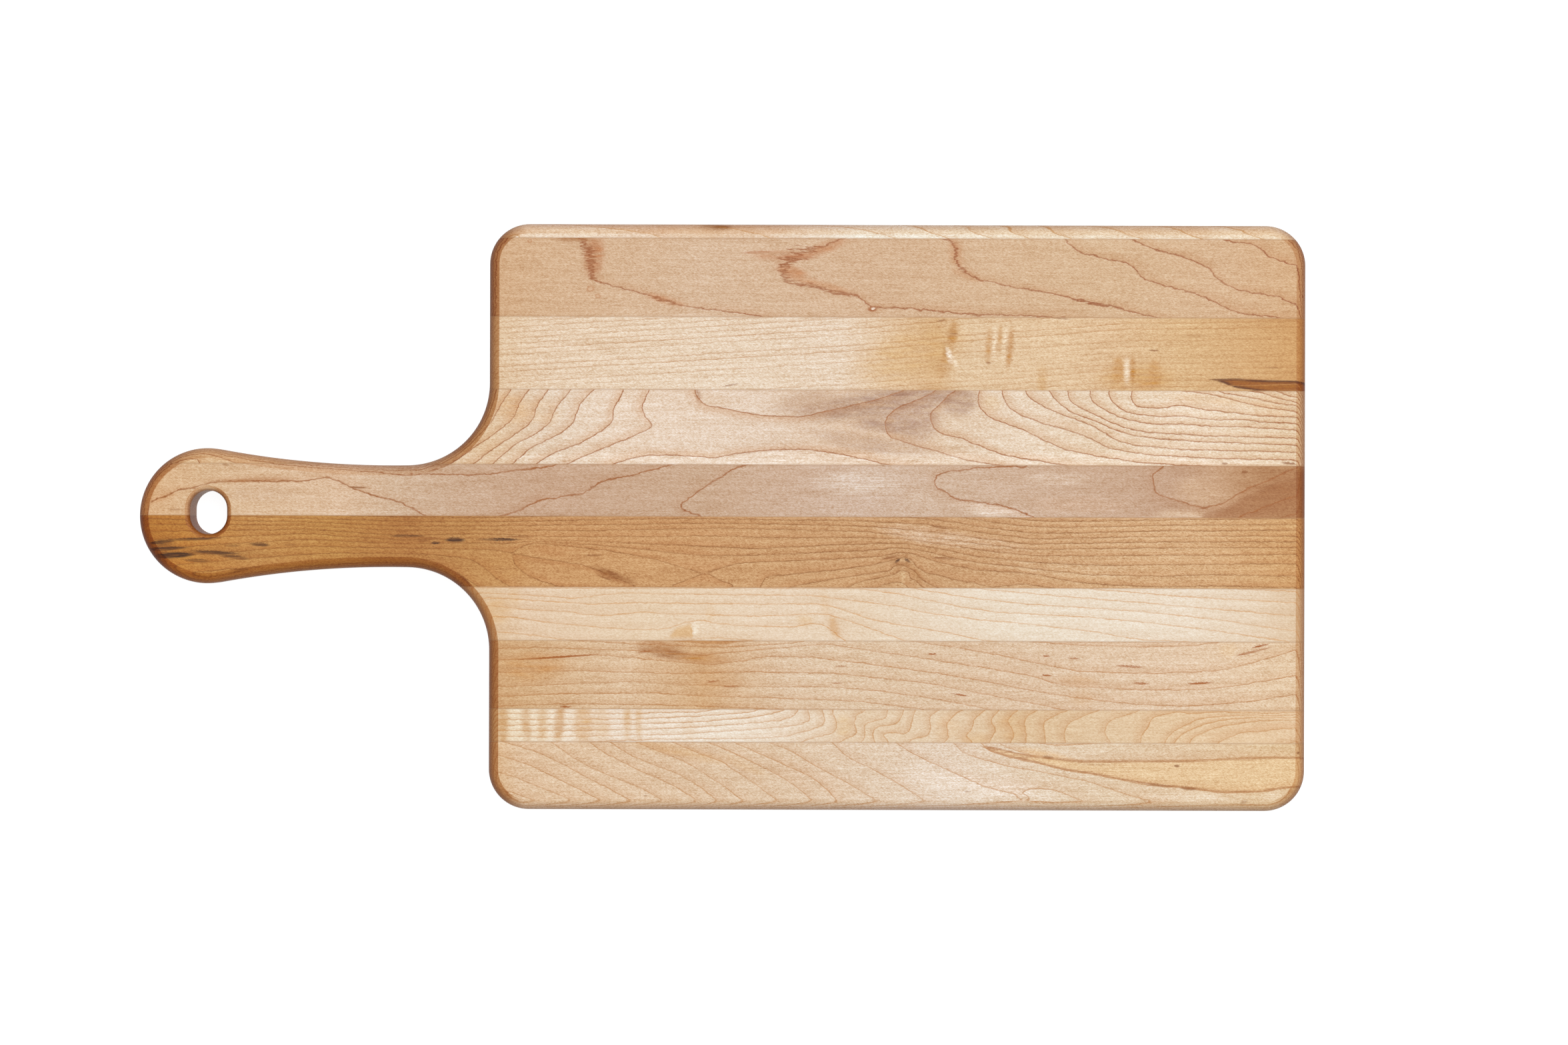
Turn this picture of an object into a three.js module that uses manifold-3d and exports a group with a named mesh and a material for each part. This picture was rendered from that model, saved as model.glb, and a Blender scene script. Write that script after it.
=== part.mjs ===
// A paddle-shaped wooden cutting board, edge-glued from ten hardwood staves that run its full length,
// with a waisted handle, a round knob at the handle's end and an oval hang hole through the knob.
// Millimetres, +Z up. The board lies flat: origin at the middle of its underside, +X towards the plain
// end, the handle towards -X, +Y across the grain.
import * as THREE from "three";
import { mergeVertices } from "three/addons/utils/BufferGeometryUtils.js";
import Module from "manifold-3d";

// Overall sizes.
const OVERALL_LENGTH = 508; // 20 in, knob tip to plain end
const HANDLE_LENGTH = 152.4; // 6 in, knob tip to the shoulders of the body
const BODY_WIDTH = 255.3; // 10 in less what the saw and the jointer took
const THICKNESS = 19; // 3/4 in
const CORNER_RADIUS = 17.5; // the body's four corners, seen from above
const EDGE_ROUND = 4.76; // 3/16 in quarter-round on the whole rim, both faces

// Handle, seen from above: knob circle, long hollow waist, then a fillet into the body's shoulder.
const KNOB_RADIUS = 29.5;
const WAIST_HALF_WIDTH = 22.2; // at the narrowest place
const WAIST_RADIUS = 415; // the hollow of each side
const FILLET_RADIUS = 36;

// Hang hole: two 16 mm borings side by side, joined into an oval and eased at both faces.
const HOLE_RADIUS = 8;
const HOLE_LENGTH = 19; // along Y
const HOLE_ROUND = 2.2;
const HOLE_CENTRE_Y = 1.5; // it was bored a little off the board's centre line
const HOLE_FROM_TIP = 30.4;

// Glue lines, from the +Y edge to the -Y edge, and the thickness of the cured film in each.
const GLUE_LINE_Y = [121.3, 87.1, 55.4, 22.8, 0.2, -30.6, -53.8, -83.6, -97.9];
const GLUE_FILM = 0.1;

// Staves from the +Y edge to the -Y edge: the colour of each board's planed and oiled face.
const STAVE_COLOURS = [
  0xd9bb9c, 0xd7b493, 0xe0c49e, 0xe2c8ae, 0xcbab8c,
  0xca9e70, 0xe8d0b4, 0xdbbb96, 0xe2c7a6, 0xe0c39e,
];
const GLUE_COLOUR = 0xa5794f;
const WOOD_ROUGHNESS = 0.55;
const GLUE_ROUGHNESS = 0.45;

// Facets: segments per arc of an outline (three.js doubles this on arcs) and per quarter-round.
const ARC_SEGMENTS = 8;
const ROUND_SEGMENTS = 4;
const CLEARANCE = 20; // how far a cutting block reaches past the board

const KNOB_TIP_X = -OVERALL_LENGTH / 2;
const PLAIN_END_X = OVERALL_LENGTH / 2;
const SHOULDER_X = KNOB_TIP_X + HANDLE_LENGTH;
const HALF_WIDTH = BODY_WIDTH / 2;
const HOLE_CENTRE_X = KNOB_TIP_X + HOLE_FROM_TIP;

// The waist's hollow is an arc that touches the knob's circle from outside.
const KNOB_X = KNOB_TIP_X + KNOB_RADIUS;
const WAIST_CENTRE_Y = WAIST_HALF_WIDTH + WAIST_RADIUS;
const KNOB_TO_WAIST = Math.sqrt((KNOB_RADIUS + WAIST_RADIUS) ** 2 - WAIST_CENTRE_Y ** 2);
const WAIST_X = KNOB_X + KNOB_TO_WAIST;

const manifold = await Module();
manifold.setup();

// The outline seen from above, anticlockwise from the plain end's -Y corner. The fillet's arc lies
// inside the waist's hollow, touches it, and touches the line of the shoulder.
function boardOutline() {
  const filletX = SHOULDER_X - FILLET_RADIUS;
  const filletToWaistX = WAIST_X - filletX;
  const filletToWaistY = Math.sqrt((WAIST_RADIUS - FILLET_RADIUS) ** 2 - filletToWaistX ** 2);
  const filletY = WAIST_CENTRE_Y - filletToWaistY;
  // Directions between centres: knob to waist arc, and waist arc to fillet.
  const knobAngle = Math.atan2(WAIST_CENTRE_Y, KNOB_TO_WAIST);
  const filletAngle = Math.atan2(-filletToWaistY, -filletToWaistX);
  const cornerX = PLAIN_END_X - CORNER_RADIUS;
  const shoulderCornerX = SHOULDER_X + CORNER_RADIUS;
  const cornerY = HALF_WIDTH - CORNER_RADIUS;
  const quarter = Math.PI / 2;

  const outline = new THREE.Shape();
  outline.absarc(cornerX, -cornerY, CORNER_RADIUS, -quarter, 0, false);
  outline.absarc(cornerX, cornerY, CORNER_RADIUS, 0, quarter, false);
  outline.absarc(shoulderCornerX, cornerY, CORNER_RADIUS, quarter, Math.PI, false);
  outline.absarc(filletX, filletY, FILLET_RADIUS, 0, filletAngle, true);
  outline.absarc(WAIST_X, WAIST_CENTRE_Y, WAIST_RADIUS, filletAngle, knobAngle - Math.PI, true);
  outline.absarc(KNOB_X, 0, KNOB_RADIUS, knobAngle, 2 * Math.PI - knobAngle, false);
  outline.absarc(WAIST_X, -WAIST_CENTRE_Y, WAIST_RADIUS, Math.PI - knobAngle, -filletAngle, true);
  outline.absarc(filletX, -filletY, FILLET_RADIUS, -filletAngle, 0, true);
  outline.absarc(shoulderCornerX, -cornerY, CORNER_RADIUS, Math.PI, Math.PI + quarter, false);
  return outline;
}

// An outline made into a plate as thick as the board. round > 0 rounds the rim over inwards at both
// faces; round < 0 flares it outwards, which is the shape of a hole whose rims are rounded over.
function plate(outline, round) {
  const depth = Math.abs(round);
  const geometry = new THREE.ExtrudeGeometry(outline, {
    depth: THICKNESS - 2 * depth,
    curveSegments: ARC_SEGMENTS,
    bevelThickness: depth,
    bevelSize: round,
    bevelOffset: -round,
    bevelSegments: ROUND_SEGMENTS,
  });
  return geometry.translate(0, 0, depth);
}

// The hang hole as a solid plug, stretched a hair in Z so that it passes through both faces.
function holePlug() {
  const reach = HOLE_LENGTH / 2 - HOLE_RADIUS;
  const oval = new THREE.Shape();
  oval.absarc(HOLE_CENTRE_X, HOLE_CENTRE_Y + reach, HOLE_RADIUS, 0, Math.PI, false);
  oval.absarc(HOLE_CENTRE_X, HOLE_CENTRE_Y - reach, HOLE_RADIUS, Math.PI, 2 * Math.PI, false);
  const stretch = 1.001;
  return plate(oval, -HOLE_ROUND)
    .translate(0, 0, -THICKNESS / 2)
    .scale(1, 1, stretch)
    .translate(0, 0, THICKNESS / 2);
}

// A block that reaches well past both faces of the board. Its corners are given outright, so that two
// blocks that share a plane share it exactly.
function block([x0, x1], [y0, y1]) {
  const base = new THREE.Shape();
  base.moveTo(x0, y0).lineTo(x1, y0).lineTo(x1, y1).lineTo(x0, y1);
  const depth = THICKNESS + 2 * CLEARANCE;
  return new THREE.ExtrudeGeometry(base, { depth, bevelEnabled: false }).translate(0, 0, -CLEARANCE);
}

function toSolid(geometry) {
  geometry.deleteAttribute("normal");
  geometry.deleteAttribute("uv");
  const merged = mergeVertices(geometry, 1e-4);
  return new manifold.Manifold(
    new manifold.Mesh({
      numProp: 3,
      vertProperties: merged.attributes.position.array,
      triVerts: new Uint32Array(merged.index.array),
    }),
  );
}

function toGeometry(solid) {
  const mesh = solid.getMesh();
  const geometry = new THREE.BufferGeometry();
  geometry.setAttribute("position", new THREE.BufferAttribute(mesh.vertProperties, 3));
  geometry.setIndex(new THREE.BufferAttribute(mesh.triVerts, 1));
  const faceted = geometry.toNonIndexed();
  faceted.computeVertexNormals();
  return faceted;
}

const blank = toSolid(plate(boardOutline(), EDGE_ROUND)).subtract(toSolid(holePlug()));
const board = new THREE.Group();

function addPiece(name, material, xRange, yRange) {
  const solid = blank.intersect(toSolid(block(xRange, yRange)));
  const mesh = new THREE.Mesh(toGeometry(solid), material.clone());
  mesh.name = name;
  board.add(mesh);
}

// Strips that the waist or the hang hole interrupts: where each is parted, and its handle-side piece.
const PARTED = {
  stave_4: [WAIST_X, "stave_4_knob_sliver"],
  glue_line_4: [WAIST_X, "glue_line_4_knob"],
  glue_line_5: [HOLE_CENTRE_X, "glue_line_5_knob_tip"],
};

// One strip of the glued-up blank, in one piece or two, between two lines across the grain.
function addStrip(name, material, yRange) {
  const beyondTip = KNOB_TIP_X - CLEARANCE;
  const beyondEnd = PLAIN_END_X + CLEARANCE;
  const [partedAt, handleSide] = PARTED[name] ?? [beyondTip, null];
  addPiece(name, material, [partedAt, beyondEnd], yRange);
  if (handleSide) addPiece(handleSide, material, [beyondTip, partedAt], yRange);
}

function finish(color, roughness) {
  return new THREE.MeshStandardMaterial({ color, roughness, metalness: 0 });
}

const halfFilm = GLUE_FILM / 2;
const seams = [HALF_WIDTH + CLEARANCE, ...GLUE_LINE_Y, -HALF_WIDTH - CLEARANCE];

STAVE_COLOURS.forEach((colour, i) => {
  const wood = finish(colour, WOOD_ROUGHNESS);
  addStrip(`stave_${i + 1}`, wood, [seams[i + 1] + halfFilm, seams[i] - halfFilm]);
});
GLUE_LINE_Y.forEach((y, i) => {
  const glue = finish(GLUE_COLOUR, GLUE_ROUGHNESS);
  addStrip(`glue_line_${i + 1}`, glue, [y - halfFilm, y + halfFilm]);
});

export default board;
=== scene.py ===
"""A paddle-shaped cutting board, edge-glued from ten hard maple and cherry staves, planed and oiled.

Every stave and every film of glue is a closed shell of its own around its CAD node. The growth rings are
a field worked out from a few given lines per stave, carried by the mesh down over the rim and through
the end grain, so that face, rim and ends agree.
"""
import math

import bpy
import numpy as np
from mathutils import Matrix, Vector
from mathutils.geometry import delaunay_2d_cdt


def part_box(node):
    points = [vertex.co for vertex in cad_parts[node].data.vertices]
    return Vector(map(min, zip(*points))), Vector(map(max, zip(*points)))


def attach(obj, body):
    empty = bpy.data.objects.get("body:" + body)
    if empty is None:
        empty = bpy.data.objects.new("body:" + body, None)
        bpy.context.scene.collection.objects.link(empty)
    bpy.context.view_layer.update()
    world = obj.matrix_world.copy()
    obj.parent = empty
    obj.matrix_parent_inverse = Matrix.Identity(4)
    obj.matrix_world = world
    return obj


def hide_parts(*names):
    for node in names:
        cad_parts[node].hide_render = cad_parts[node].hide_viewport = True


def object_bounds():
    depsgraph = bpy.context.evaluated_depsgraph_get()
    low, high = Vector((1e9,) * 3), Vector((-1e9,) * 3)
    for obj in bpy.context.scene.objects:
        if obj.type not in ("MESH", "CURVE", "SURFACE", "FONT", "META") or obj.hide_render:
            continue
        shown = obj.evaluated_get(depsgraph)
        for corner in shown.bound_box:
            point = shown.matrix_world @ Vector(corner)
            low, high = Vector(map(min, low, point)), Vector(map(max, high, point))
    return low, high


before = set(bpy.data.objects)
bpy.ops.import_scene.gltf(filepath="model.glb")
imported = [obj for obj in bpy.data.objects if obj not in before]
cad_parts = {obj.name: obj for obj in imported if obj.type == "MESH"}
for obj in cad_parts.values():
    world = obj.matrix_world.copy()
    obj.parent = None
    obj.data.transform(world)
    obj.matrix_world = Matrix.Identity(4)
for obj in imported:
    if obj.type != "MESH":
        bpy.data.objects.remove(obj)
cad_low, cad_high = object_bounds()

MM = 0.001  # this script works in millimetres and turns to metres when a mesh is made

# ---------------------------------------------------------------- sizes, in millimetres
THICKNESS = (cad_high.z - cad_low.z) / MM
KNOB_TIP_X = cad_low.x / MM
PLAIN_END_X = cad_high.x / MM
HALF_WIDTH = (cad_high.y - cad_low.y) / MM / 2
SHOULDER_X = KNOB_TIP_X + 152.4
CORNER_RADIUS = 17.5
EDGE_ROUND = 4.76
KNOB_RADIUS = 29.5
WAIST_HALF_WIDTH = 22.2
WAIST_RADIUS = 415.0
FILLET_RADIUS = 36.0
HOLE_RADIUS = 8.0
HOLE_REACH = 1.5  # from the hole's centre to each of its two boring centres, along Y
HOLE_ROUND = 2.2
HOLE_X = KNOB_TIP_X + 30.4
HOLE_Y = 1.5  # it was bored a little off the middle of the handle

KNOB_X = KNOB_TIP_X + KNOB_RADIUS
WAIST_Y = WAIST_HALF_WIDTH + WAIST_RADIUS
WAIST_X = KNOB_X + math.sqrt((KNOB_RADIUS + WAIST_RADIUS) ** 2 - WAIST_Y**2)
FILLET_X = SHOULDER_X - FILLET_RADIUS
FILLET_Y = WAIST_Y - math.sqrt((WAIST_RADIUS - FILLET_RADIUS) ** 2 - (WAIST_X - FILLET_X) ** 2)
KNOB_ANGLE = math.atan2(WAIST_Y, WAIST_X - KNOB_X)
FILLET_ANGLE = math.atan2(FILLET_Y - WAIST_Y, FILLET_X - WAIST_X)
CORNER_X = PLAIN_END_X - CORNER_RADIUS
CORNER_Y = HALF_WIDTH - CORNER_RADIUS
SHOULDER_CORNER_X = SHOULDER_X + CORNER_RADIUS

STEP_X = 1.5  # mesh spacing along the grain
STEP_Y = 1.0  # and across it
HOLE_STEP = 0.8  # and around the hang hole
RIM_STEPS = 8  # facets over the rim's quarter-round
HOLE_STEPS = 6  # and over the hole's
WALL_ROWS = 5
FILM_REACH = 3  # how far past the outline the films' faces are laid before they are trimmed
KEEP_CLEAR = 0.35  # loose mesh points stay this far from the edges that are laid on purpose
CLOSEST = 1e-5  # points nearer to each other than this are one point
ON_EDGE = 1e-3  # a point this near to the outline or the hole's wall is on it
TINY = 1e-9  # keeps divisions and logarithms off nothing

# The profile of the blank was laid out a hair askew on the glued-up panel, so the grain of every stave
# runs this much off its joints; the two agree at GRAIN_PIVOT_X.
GRAIN_SKEW = -0.0034
GRAIN_PIVOT_X = 75.0


# ---------------------------------------------------------------- the board's plan
def quarter_round_insets(radius, steps):
    """How far in from the edge each ring of a quarter-round lies: radius times one less the sine."""
    turn = np.linspace(0, math.pi / 2, steps + 1)
    return radius * (1 - np.sin(turn))


def arc(centre, radius, start, end, step):
    """Points on an arc, evenly turned, about step apart on it."""
    count = max(2, math.ceil(radius * abs(end - start) / step) + 1)
    turn = np.linspace(start, end, count)
    return np.stack([centre[0] + radius * np.cos(turn), centre[1] + radius * np.sin(turn)], 1)


def board_outline(inset):
    """The outline moved in by inset: hollow arcs (turned clockwise) grow by it and full ones shrink."""
    quarter = math.pi / 2
    arcs = [
        ((CORNER_X, -CORNER_Y), CORNER_RADIUS, -quarter, 0),
        ((CORNER_X, CORNER_Y), CORNER_RADIUS, 0, quarter),
        ((SHOULDER_CORNER_X, CORNER_Y), CORNER_RADIUS, quarter, math.pi),
        ((FILLET_X, FILLET_Y), FILLET_RADIUS, 0, FILLET_ANGLE),
        ((WAIST_X, WAIST_Y), WAIST_RADIUS, FILLET_ANGLE, KNOB_ANGLE - math.pi),
        ((KNOB_X, 0), KNOB_RADIUS, KNOB_ANGLE, 2 * math.pi - KNOB_ANGLE),
        ((WAIST_X, -WAIST_Y), WAIST_RADIUS, math.pi - KNOB_ANGLE, -FILLET_ANGLE),
        ((FILLET_X, -FILLET_Y), FILLET_RADIUS, -FILLET_ANGLE, 0),
        ((SHOULDER_CORNER_X, -CORNER_Y), CORNER_RADIUS, math.pi, math.pi + quarter),
    ]
    points = []
    for centre, radius, start, end in arcs:
        grown = radius - inset if end > start else radius + inset
        stretch = arc(centre, grown, start, end, STEP_X * grown / radius)
        if points:
            points.append(between(points[-1][-1], stretch[0]))
        points.append(stretch)
    points.append(between(points[-1][-1], points[0][0]))
    return without_doubles(np.concatenate(points))


def between(start, end):
    """Points along a straight line, about a mesh step apart, without its two ends."""
    count = max(1, round(float(np.hypot(*(end - start))) / STEP_X))
    share = (np.arange(1, count) / count)[:, None]
    return start + share * (end - start)


def without_doubles(points):
    """A closed ring of points without those that lie on the one before."""
    gap = np.hypot(*(points - np.roll(points, 1, axis=0)).T)
    return points[gap > CLOSEST]


def hole_outline(outset):
    """The hang hole's oval: two half circles joined by short straights, moved out by outset."""
    top = arc((HOLE_X, HOLE_Y + HOLE_REACH), HOLE_RADIUS + outset, 0, math.pi, HOLE_STEP)
    foot = arc((HOLE_X, HOLE_Y - HOLE_REACH), HOLE_RADIUS + outset, math.pi, 2 * math.pi, HOLE_STEP)
    return np.concatenate([top, foot])


def rim_distance(x, y):
    """How far in from the outline each point lies, below zero outside it: the least of its distances
    to the straights and arcs that face it."""
    y = np.abs(y)

    def facing(applies, distance):
        return np.where(applies, distance, np.inf)

    def from_arc(cx, cy, radius, start, end):
        """Distance out of the circle, where the direction from its centre lies between two angles."""
        away = np.arctan2(y - cy, x - cx)
        return facing((away >= start) & (away <= end), np.hypot(x - cx, y - cy) - radius)

    full_corner = CORNER_RADIUS - np.hypot(x - CORNER_X, y - CORNER_Y)
    shoulder_corner = CORNER_RADIUS - np.hypot(x - SHOULDER_CORNER_X, y - CORNER_Y)
    knob = KNOB_RADIUS - np.hypot(x - KNOB_X, y)
    knob_faces = np.arctan2(y, x - KNOB_X) >= KNOB_ANGLE
    return np.minimum.reduce([
        facing(y <= CORNER_Y, PLAIN_END_X - x),
        facing((x <= CORNER_X) & (x >= SHOULDER_CORNER_X), HALF_WIDTH - y),
        facing((y >= FILLET_Y) & (y <= CORNER_Y), x - SHOULDER_X),
        facing((x > CORNER_X) & (y > CORNER_Y), full_corner),
        facing((x < SHOULDER_CORNER_X) & (y > CORNER_Y), shoulder_corner),
        from_arc(FILLET_X, FILLET_Y, FILLET_RADIUS, FILLET_ANGLE, 0),
        from_arc(WAIST_X, WAIST_Y, WAIST_RADIUS, KNOB_ANGLE - math.pi, FILLET_ANGLE),
        facing(knob_faces, knob),
    ])


def hole_distance(x, y):
    """How far out from the hang hole's wall each point lies, below zero inside the hole."""
    beside = np.clip(y, HOLE_Y - HOLE_REACH, HOLE_Y + HOLE_REACH)
    return np.hypot(x - HOLE_X, y - beside) - HOLE_RADIUS


def slope_of(field, x, y, reach=0.01):
    """The gradient of a field of x and y, from its change over a small reach to both sides."""
    along = (field(x + reach, y) - field(x - reach, y)) / (2 * reach)
    across = (field(x, y + reach) - field(x, y - reach)) / (2 * reach)
    return along, across


def closed_chain(first, count):
    """Edges from each of count points, numbered from first, to the next and from the last to the first."""
    here = np.arange(count)
    return np.stack([first + here, first + (here + 1) % count], 1)


def open_chain(first, count):
    """The same edges without the closing one."""
    here = np.arange(count - 1)
    return np.stack([first + here, first + here + 1], 1)


def board_plan(film_edges):
    """One triangulation of the whole board seen from above. Rings of points follow the rim and the hole
    at the insets of their quarter-rounds, chains follow both faces of every glue film, and a plain grid
    fills the rest. Gives the points, the triangles and each triangle's middle."""
    points = []
    edges = []
    count = 0
    rings = [board_outline(inset) for inset in quarter_round_insets(EDGE_ROUND, RIM_STEPS)]
    rings += [hole_outline(outset) for outset in quarter_round_insets(HOLE_ROUND, HOLE_STEPS)]
    for ring in rings:
        points.append(ring)
        edges.append(closed_chain(count, len(ring)))
        count += len(ring)
    film_x = np.arange(KNOB_TIP_X - FILM_REACH, PLAIN_END_X + FILM_REACH, STEP_X)
    for y in film_edges:
        points.append(np.stack([film_x, np.full_like(film_x, y)], 1))
        edges.append(open_chain(count, len(film_x)))
        count += len(film_x)
    grid_x, grid_y = np.meshgrid(
        np.arange(KNOB_TIP_X, PLAIN_END_X, STEP_X), np.arange(-HALF_WIDTH, HALF_WIDTH, STEP_Y)
    )
    grid_x[1::2] += STEP_X / 2
    off_film = np.abs(grid_y[..., None] - np.array(film_edges)).min(-1) > KEEP_CLEAR
    in_face = rim_distance(grid_x, grid_y) > EDGE_ROUND + KEEP_CLEAR
    off_hole = hole_distance(grid_x, grid_y) > HOLE_ROUND + KEEP_CLEAR
    loose = off_film & in_face & off_hole
    points.append(np.stack([grid_x[loose], grid_y[loose]], 1))
    laid = [Vector(p) for p in np.concatenate(points).tolist()]
    plan = delaunay_2d_cdt(laid, np.concatenate(edges).tolist(), [], 0, CLOSEST, False)
    corners = np.array([tuple(p) for p in plan[0]])
    triangles = np.array(plan[2])
    middle = corners[triangles].mean(1)
    wood = (rim_distance(*middle.T) > 0) & (hole_distance(*middle.T) > 0)
    triangles = triangles[wood]
    a, b, c = np.moveaxis(corners[triangles], 1, 0)
    turned = (b[:, 0] - a[:, 0]) * (c[:, 1] - a[:, 1]) - (b[:, 1] - a[:, 1]) * (c[:, 0] - a[:, 0]) < 0
    triangles[turned] = triangles[turned][:, ::-1]
    return corners, triangles, middle[wood]


def upper_skin(x, y):
    """Height and normal of the upper face. In from an edge by d, less than its radius r, the surface is
    a quarter-round: it has dropped by r - sqrt(r^2 - (r - d)^2) and leans out by (r - d) / r."""
    height = np.full_like(x, THICKNESS)
    normal = np.zeros((len(x), 3))
    normal[:, 2] = 1
    for distance, radius in ((rim_distance, EDGE_ROUND), (hole_distance, HOLE_ROUND)):
        lean = np.clip((radius - distance(x, y)) / radius, 0, 1)
        upright = np.sqrt(1 - lean**2)
        rounded = lean > CLOSEST
        along, across = slope_of(distance, x, y)
        leaning = np.stack([-along * lean, -across * lean, upright], 1)
        height = np.where(rounded, THICKNESS - radius * (1 - upright), height)
        normal = np.where(rounded[:, None], leaning, normal)
    return height, normal


# ---------------------------------------------------------------- one closed shell per piece
def shell(corners, triangles):
    """Closes a patch of the plan into a solid: the upper skin, its mirror image below, and a wall down
    every edge that only one triangle has. Gives points, faces as lists of loops, and loop normals."""
    used, local = np.unique(triangles, return_inverse=True)
    faces = local.reshape(-1, 3)
    x, y = corners[used].T
    height, normal = upper_skin(x, y)
    count = len(used)

    sides = np.concatenate([faces[:, [0, 1]], faces[:, [1, 2]], faces[:, [2, 0]]])
    key = np.sort(sides, 1)
    key = key[:, 0] * count + key[:, 1]
    _, first, times = np.unique(key, return_index=True, return_counts=True)
    border = sides[first[times == 1]]
    border_points = np.unique(border)
    place = np.zeros(count, int)
    place[border_points] = np.arange(len(border_points))

    def level(row, points):
        """Index of the wall's points in one row, from the upper skin at row 0 to the lower skin."""
        if row == 0:
            return points
        if row == WALL_ROWS:
            return points + count
        return 2 * count + (row - 1) * len(border_points) + place[points]

    share = (np.arange(1, WALL_ROWS) / WALL_ROWS)[:, None]
    edge_height = height[border_points]
    wall_z = edge_height * (1 - share) + (THICKNESS - edge_height) * share
    all_x = np.concatenate([x, x, np.tile(x[border_points], WALL_ROWS - 1)])
    all_y = np.concatenate([y, y, np.tile(y[border_points], WALL_ROWS - 1)])
    all_z = np.concatenate([height, THICKNESS - height, wall_z.ravel()])

    start, end = border.T
    walls = [
        np.stack([level(r, end), level(r, start), level(r + 1, start), level(r + 1, end)], 1)
        for r in range(WALL_ROWS)
    ]
    walls = np.concatenate(walls)

    below = normal * np.array([1, 1, -1])
    on_rim = (rim_distance(x, y) < ON_EDGE)[border].all(1)
    on_hole = (hole_distance(x, y) < ON_EDGE)[border].all(1)
    run = np.stack([x[end] - x[start], y[end] - y[start]], 1)
    run /= np.maximum(np.hypot(*run.T), TINY)[:, None]
    flat_out = np.stack([run[:, 1], -run[:, 0], np.zeros(len(run))], 1)
    out = normal * np.array([1, 1, 0])
    out /= np.maximum(np.hypot(*out[:, :2].T), TINY)[:, None]
    curved = (on_rim | on_hole)[:, None]
    at_start = np.where(curved, out[start], flat_out)
    at_end = np.where(curved, out[end], flat_out)
    wall_normal = np.stack([at_end, at_start, at_start, at_end], 1)
    wall_normal = np.tile(wall_normal, (WALL_ROWS, 1, 1))

    return {
        "points": np.stack([all_x, all_y, all_z], 1),
        "loops": np.concatenate([faces.ravel(), (faces[:, ::-1] + count).ravel(), walls.ravel()]),
        "sizes": np.concatenate([np.full(2 * len(faces), 3), np.full(len(walls), 4)]),
        "normals": np.concatenate([
            normal[faces].reshape(-1, 3),
            below[faces[:, ::-1]].reshape(-1, 3),
            wall_normal.reshape(-1, 3),
        ]),
    }


def add_piece(name, node, shape, material, fields):
    """Makes a shell's mesh in metres, with its fields as attributes, in place of its CAD node."""
    mesh = bpy.data.meshes.new(name)
    mesh.vertices.add(len(shape["points"]))
    mesh.vertices.foreach_set("co", (shape["points"] * MM).astype(np.float32).ravel())
    mesh.loops.add(len(shape["loops"]))
    mesh.loops.foreach_set("vertex_index", shape["loops"].astype(np.int32))
    mesh.polygons.add(len(shape["sizes"]))
    starts = np.concatenate([[0], np.cumsum(shape["sizes"])[:-1]])
    mesh.polygons.foreach_set("loop_start", starts.astype(np.int32))
    mesh.polygons.foreach_set("loop_total", shape["sizes"].astype(np.int32))
    mesh.polygons.foreach_set("use_smooth", np.ones(len(starts), bool))
    mesh.update(calc_edges=True)
    mesh.normals_split_custom_set(shape["normals"].tolist())
    for title, values in fields.items():
        if values.ndim == 2:
            colour = np.concatenate([values, np.ones((len(values), 1))], 1)
            kept = mesh.attributes.new(title, "FLOAT_COLOR", "POINT")
            kept.data.foreach_set("color", colour.astype(np.float32).ravel())
        else:
            kept = mesh.attributes.new(title, "FLOAT", "POINT")
            kept.data.foreach_set("value", values.astype(np.float32))
    mesh.materials.append(material)
    piece = bpy.data.objects.new(name, mesh)
    bpy.context.scene.collection.objects.link(piece)
    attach(piece, "root")
    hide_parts(node)


# ---------------------------------------------------------------- colour
def linear(value):
    """An sRGB hex colour such as 0xE4CAAD as linear red, green and blue."""
    share = np.array([value >> 16 & 255, value >> 8 & 255, value & 255]) / 255
    return np.where(share <= 0.04045, share / 12.92, ((share + 0.055) / 1.055) ** 2.4)


def rgba(value):
    return (*linear(value), 1.0)


# ---------------------------------------------------------------- growth rings
# Rings per millimetre straight down into the board: every stave is nearly flat-sawn, its rings lie close
# to the face and come out on the rim as a bundle of close lines.
RINGS_DOWN = 1.4
DRIFT_X = 1.6  # the pattern also slides this far along the grain per millimetre of depth
DRIFT_Y = 0.2  # and this far across it
KNOT_SPACING = 5  # how far apart the ring field's knots lie along a growth line
SLACK = 0.5  # how freely the ring field may miss its knots, to stay smooth
PATCH_DEPTH = 9  # soft patches fade out over this depth below the face


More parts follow.
